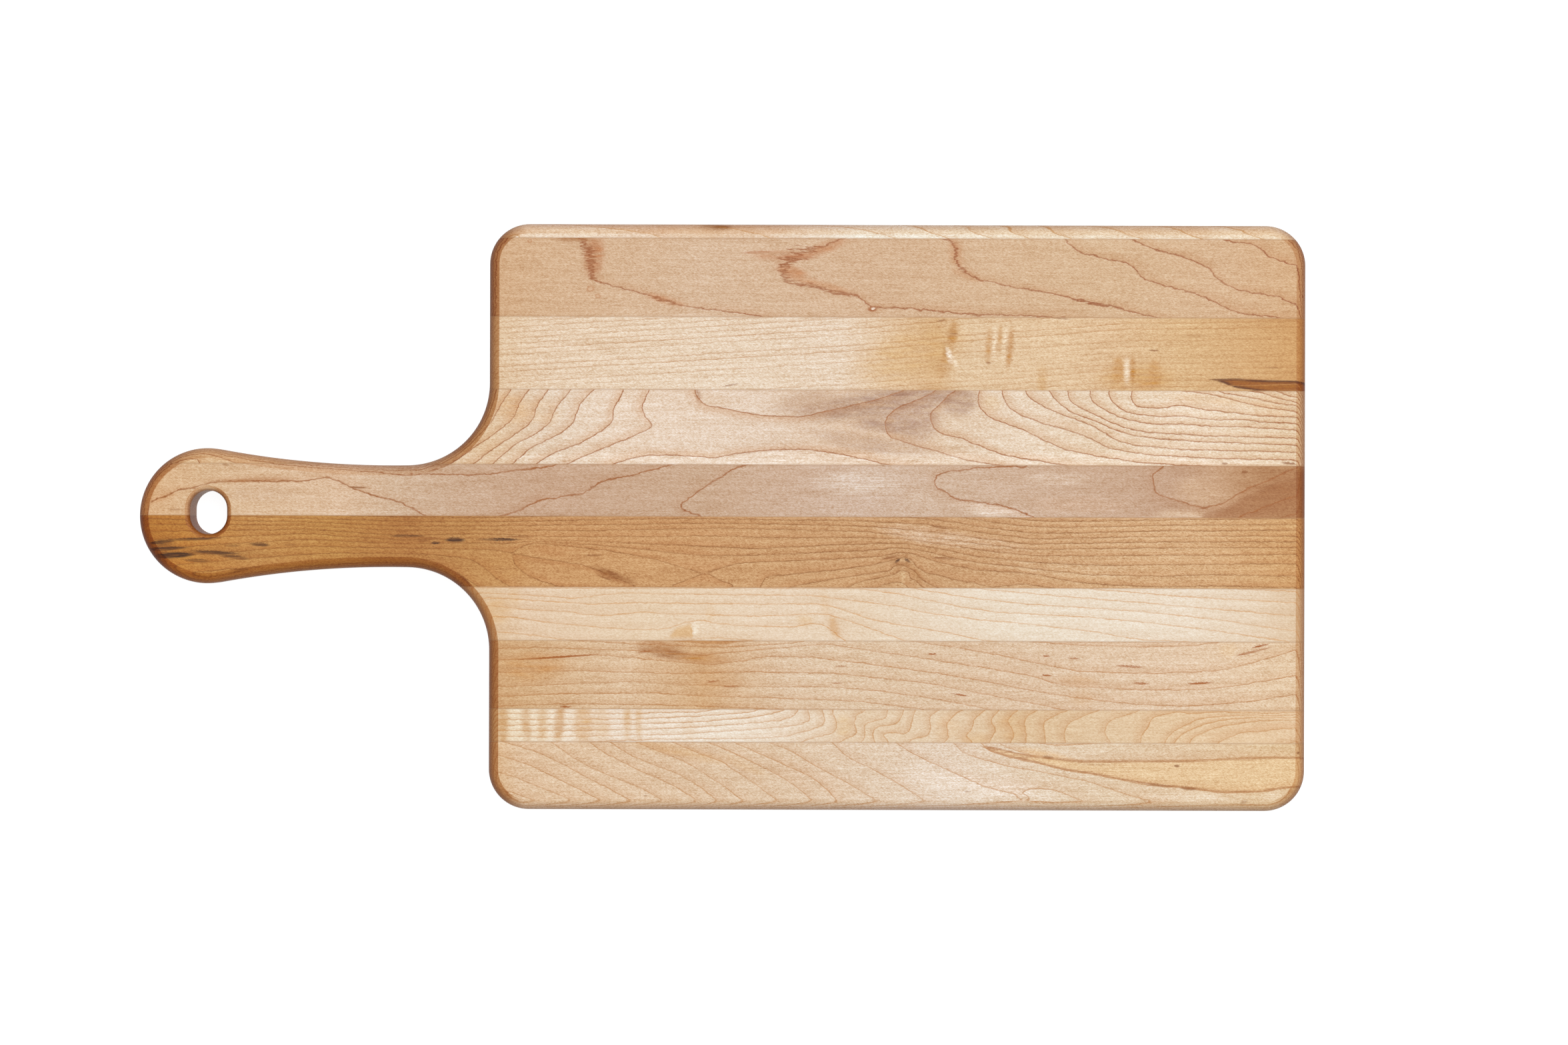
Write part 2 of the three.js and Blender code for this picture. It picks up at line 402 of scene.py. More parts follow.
def ring_field(lines, stretch):
    """A smooth field that takes each growth line's number all along it: a thin-plate spline, the sum of
    r^2 log r about points on the lines, plus a flat slope. Lengths along the grain count stretch times."""
    knots = []
    numbers = []
    for number, line in lines:
        line = np.array(line, float)
        step = np.hypot(*np.diff(line, axis=0).T)
        run = np.concatenate([[0], np.cumsum(step)])
        at = np.linspace(0, run[-1], max(2, round(run[-1] / KNOT_SPACING)) + 1)
        knots.append(np.stack([np.interp(at, run, line[:, 0]), np.interp(at, run, line[:, 1])], 1))
        numbers.append(np.full(len(at), float(number)))
    knots = np.concatenate(knots) * [stretch, 1]
    numbers = np.concatenate(numbers)

    def kernel(x, y):
        squared = (x[:, None] - knots[:, 0]) ** 2 + (y[:, None] - knots[:, 1]) ** 2
        return squared * np.log(squared + TINY) / 2

    count = len(knots)
    slope = np.stack([np.ones(count), *knots.T], 1)
    system = np.zeros((count + 3, count + 3))
    system[:count, :count] = kernel(*knots.T) + np.eye(count) * SLACK
    system[:count, count:] = slope
    system[count:, :count] = slope.T
    weights = np.linalg.solve(system, np.concatenate([numbers, np.zeros(3)]))

    def field(x, y):
        flat = weights[count] + weights[count + 1] * x * stretch + weights[count + 2] * y
        return kernel(x * stretch, y) @ weights[:count] + flat

    return field


def grain_fields(stave, points):
    """The fields of a piece of a stave: its ring number and how many rings pass per millimetre of its
    surface, the ground colour without and with its patches, the fray of its lines, and how far inside
    each stain it lies."""
    x, y, z = points.T
    depth = THICKNESS - z
    x = x + DRIFT_X * depth
    y = y - GRAIN_SKEW * (x - GRAIN_PIVOT_X) + DRIFT_Y * depth
    between_lines = stave.get("rings_between", 1)
    lines = [(number * between_lines, line) for number, line in stave["lines"]]
    field = ring_field(lines, stave.get("stretch", 0.4))
    down = RINGS_DOWN * stave.get("dip", 1)
    along, across = slope_of(field, x, y, reach=0.2)
    lean = np.clip((EDGE_ROUND - rim_distance(*points[:, :2].T)) / EDGE_ROUND, 0, 1)
    fields = {
        "ring": field(x, y) + down * depth,
        "ring_slope": np.sqrt(along**2 + across**2 + (down * lean) ** 2),
    }
    x = x - DRIFT_X * depth
    fields["ground"] = ground_colour(stave, x)
    fields["patched"] = fields["ground"].copy()
    for *patch, colour, amount in stave.get("patches", []):
        share = amount * soft_ellipse(patch, x, y, depth)[:, None]
        fields["patched"] += share * (linear(colour) - fields["patched"])
    fields["fray"] = np.zeros_like(x)
    for *patch, reach in stave.get("frayed", []):
        fields["fray"] = np.maximum(fields["fray"], reach * soft_ellipse(patch, x, y, depth))
    for i, stain in enumerate(stave.get("stains", [])):
        fields[f"stain_{i + 1}"] = stain_depth(stain, x, y, depth)
    return fields


def ground_colour(stave, x):
    """Colours at listed stations along the grain, blended from each to the next."""
    stations, colours = zip(*stave["ground"])
    colours = np.array([linear(c) for c in colours])
    return np.stack([np.interp(x, stations, channel) for channel in colours.T], 1)


def soft_ellipse(patch, x, y, depth):
    """How much of a turned ellipse a point is in: 1 in its inner third, then a smooth fall to nothing
    at its outline, times a bell curve of the depth."""
    middle_x, middle_y, half_length, half_width, turn = patch
    turn = math.radians(turn)
    along = (x - middle_x) * math.cos(turn) + (y - middle_y) * math.sin(turn)
    across = (y - middle_y) * math.cos(turn) - (x - middle_x) * math.sin(turn)
    share = np.clip((1 - np.hypot(along / half_length, across / half_width)) * 1.5, 0, 1)
    return share**2 * (3 - 2 * share) * np.exp(-((depth / PATCH_DEPTH) ** 2))


def stain_depth(stain, x, y, depth):
    """How far inside a sharp-edged stain a point lies: the lesser of its distances to the stain's upper
    and lower lines, less than zero outside and everywhere deeper than the stain goes."""
    upper = np.interp(x, *zip(*stain["upper"]))
    lower = np.interp(x, *zip(*stain["lower"]))
    return np.minimum.reduce([upper - y, y - lower, stain["goes_down"] - depth])


def parallel_lines(numbers, rise, line, low=55, high=88):
    """Growth lines that differ only in place: the given line raised by rise times each number, as far as
    it runs between low and high across the board."""
    return [
        (number, [(x, y + rise * number) for x, y in line if low < y + rise * number < high])
        for number in numbers
    ]


# The staves, from the +Y edge to the -Y edge. Each has
#   lines: the growth lines that reach the face, each with its number and its points;
#   rings_between: how many rings there are from one whole line number to the next;
#   ground: the wood's colour at stations along the grain;
#   patches: soft patches (x, y, half length, half width, turn in degrees, colour, amount);
#   frayed: where growth lines fray (x, y, half length, half width, turn, reach in millimetres);
#   stains: sharp-edged stains between an upper and a lower line, so many millimetres deep;
#   flecks: pin flecks (x, y, length, width, turn, amount and, if it isn't fleck_tone, a colour).
# The single values are shares of full effect or multiples of the usual one, but for line_width (half the
# width in millimetres), wobble (how far ripples wave a line, in millimetres), stretch (how many times
# lengths along the grain count in the ring field) and the colours.
STAVES = {
    "stave_1": {
        # Lobes like brackets, which bulge towards the handle.
        "lines": [
            (number, [(x, 121), (x - 9, 124.5), (x + 1, 127.6)])
            for number, x in enumerate((-27, 21, 75, 99, 118, 135, 153, 184, 210, 237))
        ],
        "dip": 0.15,
        "ground": [
            (-102, 0xE6CCAD), (-60, 0xE9D4BF), (-8, 0xDBBB9A), (27, 0xDDC1A6), (61, 0xEFE6D6),
            (130, 0xE6D4BA), (200, 0xE3CDB1), (254, 0xEDDBC0),
        ],
        "patches": [
            (-3, 126.5, 9, 2.6, 0, 0xA06A30, 0.9), (30, 124, 30, 4, 0, 0xEBD9C2, 0.5),
            (-60, 124, 26, 4, 0, 0xE9D2B4, 0.5),
        ],
        "line_strength": 0.85, "line_colour": 0xC4904F, "shade": 0.3,
    },
    "stave_2": {
        "lines": [
            (1, [(-63, 122), (-60, 117), (-57, 111), (-57, 104), (-56, 102), (-50, 100.5), (-40, 98.3),
                (-30, 95), (-20, 92), (-10, 90.5), (0, 89.5), (15, 87.5)]),
            (2, [(54, 122), (44, 118), (34, 115), (28, 111), (26, 106), (27, 102.5), (33, 101),
                (40, 100.5), (46, 98), (55, 97), (60, 95.5), (64, 91), (70, 91.5), (80, 91), (90, 90),
                (110, 88.3), (130, 88.3), (150, 87.3)]),
            (3, [(92, 122), (98, 121), (101, 118), (101, 114), (103, 109.5), (106, 106.5), (110, 104),
                (120, 101.8), (130, 99.8), (145, 97.5), (158, 94), (170, 92.3), (180, 89.5),
                (190, 87.2)]),
            (4, [(149, 121.3), (154, 116), (160, 114.8), (170, 112.5), (178, 110.5), (182, 105),
                (190, 102), (200, 99.5), (210, 96.5), (216, 93.5), (222, 90.5), (230, 89.3),
                (250, 86.5)]),
            (5, [(179, 121), (190, 116.5), (200, 114.5), (210, 110), (216, 104), (220, 101.3), (228, 99),
                (240, 97.5), (250, 93.5)]),
            (6, [(222, 120.8), (228, 120.5), (234, 118.5), (236, 115), (245, 112), (252, 110)]),
            (0.4, [(-100, 92), (-70, 90), (-50, 88)]),
            (0.5, [(-100, 118), (-100, 105), (-80, 112), (-72, 120)]),
            (1.5, [(-45, 119), (-25, 112), (0, 107), (10, 118)]),
        ],
        "ground": [
            (-102, 0xCDA47B), (-78, 0xD1AC87), (-8, 0xD2B293), (61, 0xCEAB89), (166, 0xCFAD88),
            (215, 0xCFAB86), (254, 0xCCA378),
        ],
        "patches": [
            (-56, 113, 6, 13, -6, 0xB9794A, 0.75), (-65, 120.3, 11, 1.8, 0, 0xA9713F, 0.9),
            (27, 113.5, 18, 3, 0, 0xBC7E52, 0.75), (30, 106.5, 11, 4, -20, 0xC08558, 0.75),
            (44, 100.5, 16, 2.4, -14, 0xC99468, 0.6), (45, 117.5, 11, 3.4, 18, 0xC08558, 0.7),
            (-25, 94, 12, 2.4, -16, 0xC68D60, 0.6), (101, 115, 4, 9, 8, 0xC28A5C, 0.5),
            (106, 105.5, 9, 2.4, -20, 0xC28A5C, 0.6), (66, 90.5, 5, 2.5, 0, 0xB98556, 0.5),
        ],
        "frayed": [
            (-57, 113, 10, 14, 0, 18), (33, 111, 19, 13, -20, 20), (103, 114, 8, 12, 0, 6),
            (48, 99, 16, 4, -12, 5), (-27, 94, 10, 4, -16, 6), (160, 95, 16, 4, -12, 4),
        ],
        "flecks": [
            (-84, 119.3, 2.6, 2, 0, 0.7, 0xB87C4C), (-84, 119.3, 1.2, 0.9, 0, 0.8, 0xD8B48E),
            (-57.5, 98.7, 3.6, 3.2, 20, 0.75, 0xB87C4C), (-57.5, 98.7, 2.1, 1.8, 20, 0.9, 0xD8B491),
            (-54.2, 95.5, 2.8, 2.2, 0, 0.65, 0xB87C4C), (-54.2, 95.5, 1.4, 1.1, 0, 0.9, 0xD8B491),
            # The knot at x 65 is a dark fleck with a painted highlight, the near-white fleck in its
            # middle.
            (65, 90.6, 4, 2.6, 0, 0.95, 0xA25C2C), (65.4, 90.8, 1.7, 1.3, 0, 1, 0xEFDCC8),
            (15, 115, 14, 1.4, 2, 0.6, 0xB06C40), (33, 113.2, 18, 1.2, -4, 0.6, 0xB06C40),
        ],
        "line_strength": 1.0, "line_colour": 0x9E5E34, "line_width": 0.42, "wobble": 2.6, "uneven": 0.05,
        "shade": 0.3,
    },
    "stave_3": {
        "lines": parallel_lines(range(-2, 6), 4.8, [
            (-96, 57.5), (-60, 59.9), (-20, 62.5), (20, 65.2), (60, 67.8), (94, 70.9),
        ]) + parallel_lines(range(-3, 3), 5, [
            (106, 72), (140, 74.5), (175, 77.5), (205, 77.8), (250, 79),
        ]),
        "rings_between": 2,
        "ground": [
            (-102, 0xDFC29E), (-78, 0xE4CCB0), (-8, 0xE4CFB6), (50, 0xE3CEB6), (75, 0xDCBE9A),
            (93, 0xD3AD7F), (104, 0xDBBE99), (145, 0xDDBF99), (166, 0xD9B890), (201, 0xD5B080),
            (254, 0xC8965B),
        ],
        "patches": [
            (82, 71, 34, 15, 20, 0xD3A86C, 0.5), (97, 67, 4, 9, -20, 0xB97F38, 0.5),
            (180, 61, 22, 9, 0, 0xCB9A58, 0.6), (100, 80, 3, 8, -8, 0xB87E38, 0.7),
            (98.5, 71, 1.3, 5, 14, 0xF6E8D2, 1), (101, 68, 0.9, 3.5, 24, 0xF3E2C8, 0.9),
            (96.7, 72.5, 1, 4, 10, 0xAF7734, 0.7), (115.7, 75, 1.8, 11, -3, 0xBF8742, 0.75),
            (120.5, 78, 1.2, 9, -3, 0xC08A48, 0.7), (125, 74, 1.8, 13, -6, 0xB97E38, 0.8),
            (118, 76, 1, 11, -3, 0xF2E0C4, 0.8), (122.6, 76, 0.9, 10, -4, 0xF2E0C4, 0.7),
            (139, 60, 3, 10, 0, 0xC99A5C, 0.5), (172, 65, 3.5, 8, 0, 0xC38D4C, 0.7),
            (175.8, 64, 1.6, 8, 0, 0xF2E1C8, 0.9), (178.3, 65, 1.5, 8, 0, 0xB97F3C, 0.8),
            (188, 63, 4, 9, 0, 0xC28A48, 0.6), (184, 58, 6, 3, 0, 0xC99358, 0.4),
            (205, 79.5, 9, 0.8, 0, 0xA87035, 0.5),
        ],
        "stains": [{
            "upper": [(205, 60.6), (211, 61.3), (222, 61.6), (230, 61.2), (240, 60.7), (256, 60.4)],
            "lower": [
                (205, 61.6), (211, 60.9), (218, 59), (223, 57.2), (230, 56.2), (238, 55), (256, 53),
            ],
            "goes_down": 14, "colour": 0x9C5C16, "edge": 0x5C2C08, "amount": 1.0, "outline": 0.3,
            "heart": 1.8,
        }],
        "flecks": [
            (3.5, 57.2, 7, 0.8, 11, 0.7), (187.5, 73.3, 5, 0.8, -2, 0.8), (95, 85.8, 4, 0.8, 12, 0.7),
            (239, 66.2, 7, 0.8, -4, 0.6), (115.5, 67.5, 2.6, 0.9, 0, 0.7), (100.5, 80.1, 3, 0.7, 0, 0.7),
            (225, 54.7, 2, 0.8, 0, 0.6), (147, 87, 9, 0.6, -4, 0.7),
        ],
        "line_strength": 0.72, "line_colour": 0xB67E44, "broken": 0.6, "uneven": 0.65, "shade": 0.2,
    },
    "stave_4": {
        "lines": [
            (7, [(-91, 56), (-95, 50), (-97.5, 46), (-99, 43), (-102, 39)]),
            (6, [(-83, 56), (-87, 51), (-89, 47), (-90.5, 43), (-92, 41), (-95, 38.5), (-99, 35.5),
                (-107, 30)]),
            (5, [(-74.5, 56), (-78, 51.5), (-81, 47), (-82, 43), (-84, 39.5), (-89, 36), (-95, 32),
                (-100, 28.5), (-106, 24)]),
            (4, [(-65, 56), (-69, 50.5), (-72.5, 47), (-74, 43), (-75, 40.5), (-80, 36), (-88, 32),
                (-93, 28.5), (-99, 23)]),
            (3, [(-55, 56), (-60, 51), (-63, 47), (-64, 42), (-66, 39), (-70, 36), (-76, 33), (-83, 29.5),
                (-90, 23.5)]),
            (2, [(-42.5, 56), (-44, 52), (-46.5, 48.5), (-48, 45.5), (-47.5, 42), (-48, 40), (-54, 36),
                (-62, 31.5), (-70, 28.5), (-76, 25.5), (-80, 23)]),
            (1, [(-31.5, 56), (-33, 52), (-35, 49.5), (-35, 46.5), (-33, 42.5), (-30.5, 40.5),
                (-30.5, 38.5), (-36, 36), (-44, 32.5), (-50, 30), (-60, 26), (-66, 23)]),
            (0, [(-12, 56), (-10.5, 52), (-9.5, 48.7), (-5, 48), (0, 47), (10, 45), (20, 43.8),
                (35, 43.5), (41, 45.2), (50, 47), (60, 49.5), (68, 51.5), (78, 55)]),
            (0, [(-43, 24), (-40, 25), (-33, 26.3), (-20, 26.5), (-10, 26), (-5, 25.2), (0, 26.2),
                (8, 27.8), (20, 29), (35, 29.5), (50, 27.8), (60, 25.8), (72, 22.8)]),
            (1, [(94, 56), (88, 52.5), (79, 49), (74, 46.5), (72, 44), (71, 41), (71, 38), (72, 35.5),
                (80, 32.5), (93, 29), (107, 25), (122, 22.8)]),
            (2, [(102, 56), (96, 51.5), (94, 48.5), (90, 45), (91, 42), (92.5, 38.5), (95, 36.5),
                (103, 35), (109, 32.5), (122, 27.5), (140, 24.5), (152, 22.8)]),
            (3, [(112, 56), (111, 52), (111, 49.5), (113, 47), (117, 43.5), (128, 39.5), (135, 36.5),
                (142, 33), (150, 29.8), (160, 27.7), (180, 24.8), (195, 23.7), (215, 23)]),
            (4, [(121.5, 56), (122, 52), (125, 48), (130, 44.8), (140, 41), (147, 39.3), (155, 37),
                (162, 34), (167, 31), (175, 29.5), (185, 28), (215, 26.5), (250, 26)]),
            (5, [(131.5, 56), (134, 52), (143, 47), (150, 44.5), (157, 42), (163, 39.5), (168, 36),
                (173, 33.5), (180, 32), (200, 30.3), (250, 29.5)]),
            (6, [(142, 56), (144, 52.5), (147, 49.5), (152, 46), (163, 42), (170, 39), (178, 36.5),
                (190, 35), (205, 34), (250, 32.5)]),
            (7, [(150, 56), (151, 51.5), (153, 49.5), (159, 46.5), (171, 41.2), (177, 39), (185, 37.7),
                (210, 36.3), (250, 35.5)]),
            (8, [(159.8, 56), (160, 52.5), (162, 50), (167, 47), (173, 44), (182, 42), (190, 41.2),
                (200, 41.6), (210, 40.7), (230, 40.3), (250, 39)]),
            (9, [(168, 56), (168, 52.5), (171, 50), (173, 47.8), (178, 45.7), (192, 44.6), (200, 45),
                (215, 43.2), (225, 43.7), (235, 42.5), (250, 42)]),
            (10, [(178, 56), (177.5, 52.5), (179, 49.8), (183, 48.3), (194, 48.5), (198, 49.6),
                (202, 49.3), (207, 48), (222, 46.5), (230, 45.3), (250, 44.7)]),
            (11, [(209, 55), (217, 53.5), (222, 52), (228, 50.5), (235, 49), (250, 47)]),
            (12, [(218, 55), (226, 54), (232, 52.5), (240, 51), (250, 49.5)]),
            (13, [(235, 55), (243, 52.5), (250, 51)]),
            (9, [(-233, 28), (-231, 26), (-229, 24.5), (-227.5, 22.5)]),
            (10, [(-209, 26.5), (-210.5, 24.5), (-212, 22.5)]),
        ],
        "stretch": 0.55,
        "ground": [
            (-254, 0xDDB98D), (-200, 0xDDB990), (-145, 0xD6B48E), (-102, 0xDEC09C), (-78, 0xE1CBB3),
            (-43, 0xE4CDB6), (20, 0xDEC6AF), (61, 0xD9BB9E), (105, 0xDCC3A8), (131, 0xE3CEB6),
            (166, 0xE0C9AD), (201, 0xE7D2B9), (254, 0xDDC3A1),
        ],
        "patches": [
            (-10.5, 52.5, 1.4, 5, 8, 0xA8714A, 0.7), (-91, 46, 9, 12, 55, 0xD9AD7C, 0.6),
            (-78, 45, 8, 11, 60, 0xDDB78B, 0.4), (68, 49.5, 46, 8.5, 8, 0xB4937C, 0.9),
            (84, 44, 15, 15, 0, 0xB8957D, 0.75), (103, 51, 11, 9, 10, 0xB08B72, 0.8),
            (40, 47, 25, 4, 0, 0xBC987C, 0.6), (68, 31, 34, 5, -8, 0xBC9A80, 0.58),
            (52, 36, 24, 3, -6, 0xC9A98F, 0.45), (72, 40, 22, 4.5, -4, 0xB39078, 0.85),
            (38, 51.5, 18, 5, 4, 0xBE9A7C, 0.6), (70, 25, 260, 4.5, 0, 0xF6E4D0, 0.45),
            (-5, 50, 10, 5, 0, 0xD7B899, 0.4), (117, 50, 5, 6, 60, 0xDDBD93, 0.5),
            (213, 52, 30, 3, -5, 0xDDB98D, 0.45), (240, 50, 14, 8, 0, 0xDBB68B, 0.4),
        ],
        "flecks": [
            (218.5, 24.3, 3, 0.9, 0, 0.8), (246.5, 24.6, 7, 1, -6, 0.8),
        ],
        "line_strength": 1.0, "line_colour": 0xA5673A, "wobble": 1.3, "uneven": 0.1, "shade": 0.42,
    },
    "stave_5": {
        "lines": [
            (2, [(-252, 4), (-243, 6.8), (-240, 8), (-236, 10), (-231, 11)]),
            (2, [(-219, 13.7), (-210, 14), (-195, 14), (-183, 14.3), (-172, 16), (-168, 15), (-165, 13.5),
                (-160, 11), (-152, 8.2), (-144, 6.5), (-138, 4.3), (-133, 2), (-130, 0)]),
            (3, [(-124, 23.4), (-128, 21.5), (-131, 20), (-135, 18.9), (-138, 18.5), (-134, 18),
                (-127, 17.5), (-112, 17.3), (-105, 17.5), (-95, 18.5), (-88, 20), (-80, 20.3),
                (-75, 21.5), (-69, 23)]),
            (2, [(-93, 0.5), (-88, 2), (-86, 3.5), (-82, 5), (-80, 6.5), (-70, 8), (-62, 9.3), (-58, 11),
                (-55, 13.5), (-52, 15), (-45, 16.5), (-38, 18), (-30, 20.2), (-19, 23)]),
            (1, [(-10, 0.3), (-15.5, 2), (-17.4, 4), (-17.8, 5.5), (-16, 7), (-12, 9.5), (-8, 12.5),
                (-2, 16), (3, 19.5), (7, 21.5), (15, 22.9)]),
            (0, [(133, 23), (120, 22.3), (110, 21.8), (105, 20.8), (98, 20.2), (94, 18.5), (91.5, 16),
                (92.5, 14), (96, 12), (98.5, 10.5), (100, 9), (103, 7.8), (112, 7), (118, 6), (124, 5),
                (128, 3.7), (132, 2), (136, 0.3)]),
            (-1, [(191.5, 23), (188, 20), (186.5, 18), (187.5, 15), (189, 12), (190.5, 10), (197, 8.5),
                (203, 6.5), (208, 5.2), (212, 5.2), (217, 6.8), (222, 9.5), (227, 13), (232, 14.7),
                (237, 17), (242, 19.5), (247, 21.5), (252, 23)]),
            (0, [(223, 0), (228, 2.5), (232, 4.2), (238, 6.2), (244, 8.8), (250, 10.6)]),
            (1, [(240, 0.2), (245, 1.5), (250, 3)]),
        ],
        "stretch": 0.6,
        "ground": [
            (-254, 0xDBAF81), (-225, 0xDBB891), (-165, 0xDBBA9A), (-143, 0xD1B294), (-120, 0xCBAA8D),
            (-78, 0xC5A184), (-8, 0xC6A588), (27, 0xC8A88E), (61, 0xCBAE97), (96, 0xCAAC92),
            (166, 0xC4A286), (200, 0xBD9779), (254, 0xCCA070),
        ],
        "patches": [
            (-205, 14.5, 24, 1.3, 2, 0xB67B46, 0.75), (-243, 6.5, 8, 1.5, 20, 0xCE9460, 0.5),
            (-200, 9, 22, 6, 0, 0xCFAE92, 0.3), (-250, 12, 7, 14, -20, 0xDDAF7C, 0.4),
            (60, 15, 26, 8, 0, 0xE4D2C0, 0.4), (118, 3, 24, 4, -8, 0xEFDECC, 0.5),
            (244, 18, 34, 14, 0, 0xA8754A, 0.85), (200, 1, 18, 4.5, 0, 0xE7C9A6, 0.35),
            (88, 8, 12, 6, 0, 0xDCC5AF, 0.25), (146, 17, 20, 4, 0, 0xDFC7B0, 0.4),
            (155, 6, 30, 5, 0, 0xCFAC8F, 0.5), (206, 12, 14, 9, 0, 0xDFBC96, 0.3),
            (2, 7, 14, 7, 20, 0xC29C7C, 0.3),
        ],
        "stains": [{
            "upper": [
                (206, -5), (209, 4.6), (212, 5.2), (217, 6.8), (222, 9.5), (227, 13), (232, 14.7),
                (237, 17), (242, 19.5), (247, 21.5), (258, 27),
            ],
            "lower": [(206, -3), (207, -3), (209, -3), (258, -3)],
            "goes_down": 30, "colour": 0x9F6537, "edge": 0xB37B50, "amount": 0.75, "soft": 5,
        }],
        "flecks": [
            (-216, 21.2, 4, 1, -8, 0.6), (-158.5, 11.7, 8, 1.1, -3, 0.9), (227, 20.6, 2.4, 1.6, 0, 0.8),
            (-238, 1.6, 6, 0.9, 0, 0.4), (69, 23, 3, 0.8, -25, 0.8),
        ],
        "line_strength": 1.0, "line_colour": 0xA0602E, "line_width": 0.44, "uneven": 0.05, "wobble": 2.2,
        "shade": 0.2,
    },
    "stave_6": {
        "lines": [
            (14, [(-254, 0), (-181, -2), (-140, -3), (-105, -3), (-20, -1), (60, -1.5), (90, -3),
                (110, -6), (135, -9), (190, -7.5), (250, -7)]),
            (12, [(-254, -5), (-181, -5), (-140, -7), (-105, -6.5), (-60, -6.5), (0, -5), (60, -6),
                (90, -8.5), (110, -11), (135, -13.5), (190, -12.5), (250, -12)]),
            (10, [(-254, -12), (-181, -8.5), (-140, -11), (-105, -10), (-60, -11), (-20, -12.5),
                (15, -14), (50, -12), (78, -11), (95, -13.5), (110, -16.5), (135, -19), (160, -20.3),
                (200, -19.8), (250, -19)]),
            (8, [(-254, -20), (-181, -14), (-140, -14.5), (-100, -15), (-80, -18.5), (-60, -21.5),
                (-50, -25), (-38, -30.5)]),
            (8, [(5, -30.5), (-5, -25.5), (-20, -21.5), (-30, -18.5), (-50, -15), (-80, -12)]),
            (8, [(10, -20), (40, -18.5), (62, -17.5), (72, -16.5), (78, -14.8), (84, -16), (95, -19.5),
                (110, -22.5), (135, -24)]),
            (7, [(20, -26), (50, -23), (66, -20.5), (76, -18), (78, -16.8), (80, -17.2), (83, -20),
                (88, -23.5), (100, -26.5), (118, -30)]),
            (6, [(30, -30.5), (50, -26.5), (66, -24.3), (75, -22.8), (77, -20.5), (80, -20.5),
                (83, -24.5), (87, -27.5), (94, -30.5)]),
            (5, [(55, -30.5), (60, -27.8), (72, -25.5), (76, -23.8), (78, -22), (80.5, -22.5), (84, -27),
                (88, -30.5)]),
            (9, [(135, -22), (160, -24.3), (190, -24.8), (215, -24), (250, -24.5)]),
        ],
        "ground": [
            (-254, 0xB06F26), (-235, 0xC28338), (-205, 0xC38C4C), (-170, 0xBF8946), (-140, 0xB47A3D),
            (-110, 0xBE894D), (-78, 0xC8955F), (-8, 0xC99967), (27, 0xCA9D6D), (96, 0xC79B6D),
            (131, 0xCCA275), (201, 0xD3AB7E), (254, 0xCB9B63),
        ],
        "patches": [
            (-245, -17, 12, 6, 40, 0x7A4A1E, 0.5), (-215, -17, 30, 3, -3, 0x9A6630, 0.3),
            (-232, -5, 14, 5, 0, 0x9A5F24, 0.2), (90, -8, 30, 5, -9, 0xDCBFA1, 0.55),
            (115, -11, 25, 4, -9, 0xD9B997, 0.45), (78, -19, 6, 4, 0, 0x9E6329, 0.5),
            (84, -24, 7, 2.5, -50, 0xB17A42, 0.5), (78.5, -26, 1.1, 6, 0, 0xE0C093, 0.95),
            (79, -18, 2.5, 1.5, 0, 0xDDB88A, 0.7), (-47, -26, 13, 2.6, -20, 0x985C26, 0.8),
            (-95, -22, 14, 10, 0, 0xC08848, 0.35), (150, -22, 40, 5, -2, 0xDDBE97, 0.35),
            (-20, -14, 20, 2.5, -8, 0xB77C45, 0.3),
        ],
        "flecks": [
            (-229, -11.2, 22, 1.4, 2, 0.75, 0x4B2A16), (-244, -12.6, 12, 1.6, 6, 0.8, 0x3E2212),
            (-243, -15.5, 22, 1.8, 3, 0.9, 0x4B2A16), (-213, -14, 7, 1.1, 0, 0.6, 0x5A3216),
            (-238, -18.2, 18, 3, 3, 0.95, 0x3E2212), (-221, -17, 22, 1.8, -3, 0.85, 0x4B2A16),
            (-212, -18.9, 13, 1.8, -6, 0.85, 0x5A3216), (-201, -13.4, 9, 1.8, -4, 0.85, 0x5A3216),
            (-228, -20.5, 12, 1.6, -2, 0.7, 0x5A3216), (-188, -13.5, 6, 1, 0, 0.5),
            (-137, -9.3, 15, 1.4, 0, 0.8, 0x5A3216), (-128, -10, 12, 1, -4, 0.6),
            (-116, -10.9, 8.5, 2.4, 0, 1, 0x4A2814), (-124.5, -12.2, 4, 1.2, 0, 1, 0x4A2814),
            (-130, -11.3, 5, 1.2, 0, 0.7), (-97, -10.6, 18, 1.3, 0, 1, 0x4A2814),
            (-88, -9.3, 14, 0.9, 0, 0.7), (97, -17.6, 11, 1.1, -3, 0.9), (73, -17.4, 8, 1.2, 12, 0.8),
            (76.4, -18.8, 3, 1.2, 35, 0.95, 0x5A3216), (80.8, -18.7, 3, 1.2, -30, 0.95, 0x5A3216),
            (94.5, -4.1, 8, 1, -10, 0.8), (-56, -17.2, 7, 1, 0, 0.7), (-47, -25.4, 8, 1.4, -24, 0.8),
            (-51, -27, 7, 1, -20, 0.7),
        ],
        "line_strength": 0.85, "line_colour": 0x8E5621, "rim": 0xDFC9A6, "broken": 0.6, "fibre": 1.35,
        "shade": 0.35,
    },
    "stave_7": {
        "lines": [
            (10, [(-105, -31.5), (-50, -31.5), (15, -31), (40, -31.2)]),
            (9, [(-105, -34), (-90, -34.5), (-65, -36), (-43, -33.5), (0, -34), (40, -34.2), (60, -36.5),
                (75, -38.5), (90, -41.5), (110, -44), (135, -46), (160, -49), (182, -52.5)]),
            (8, [(-100, -36), (-80, -37), (-63, -38), (-58, -38.6), (-40, -37.8), (15, -38), (38, -37.8),
                (46, -38.4), (55, -41), (65, -44.5), (76, -46.5), (90, -48.5), (100, -50.3),
                (115, -53.5)]),
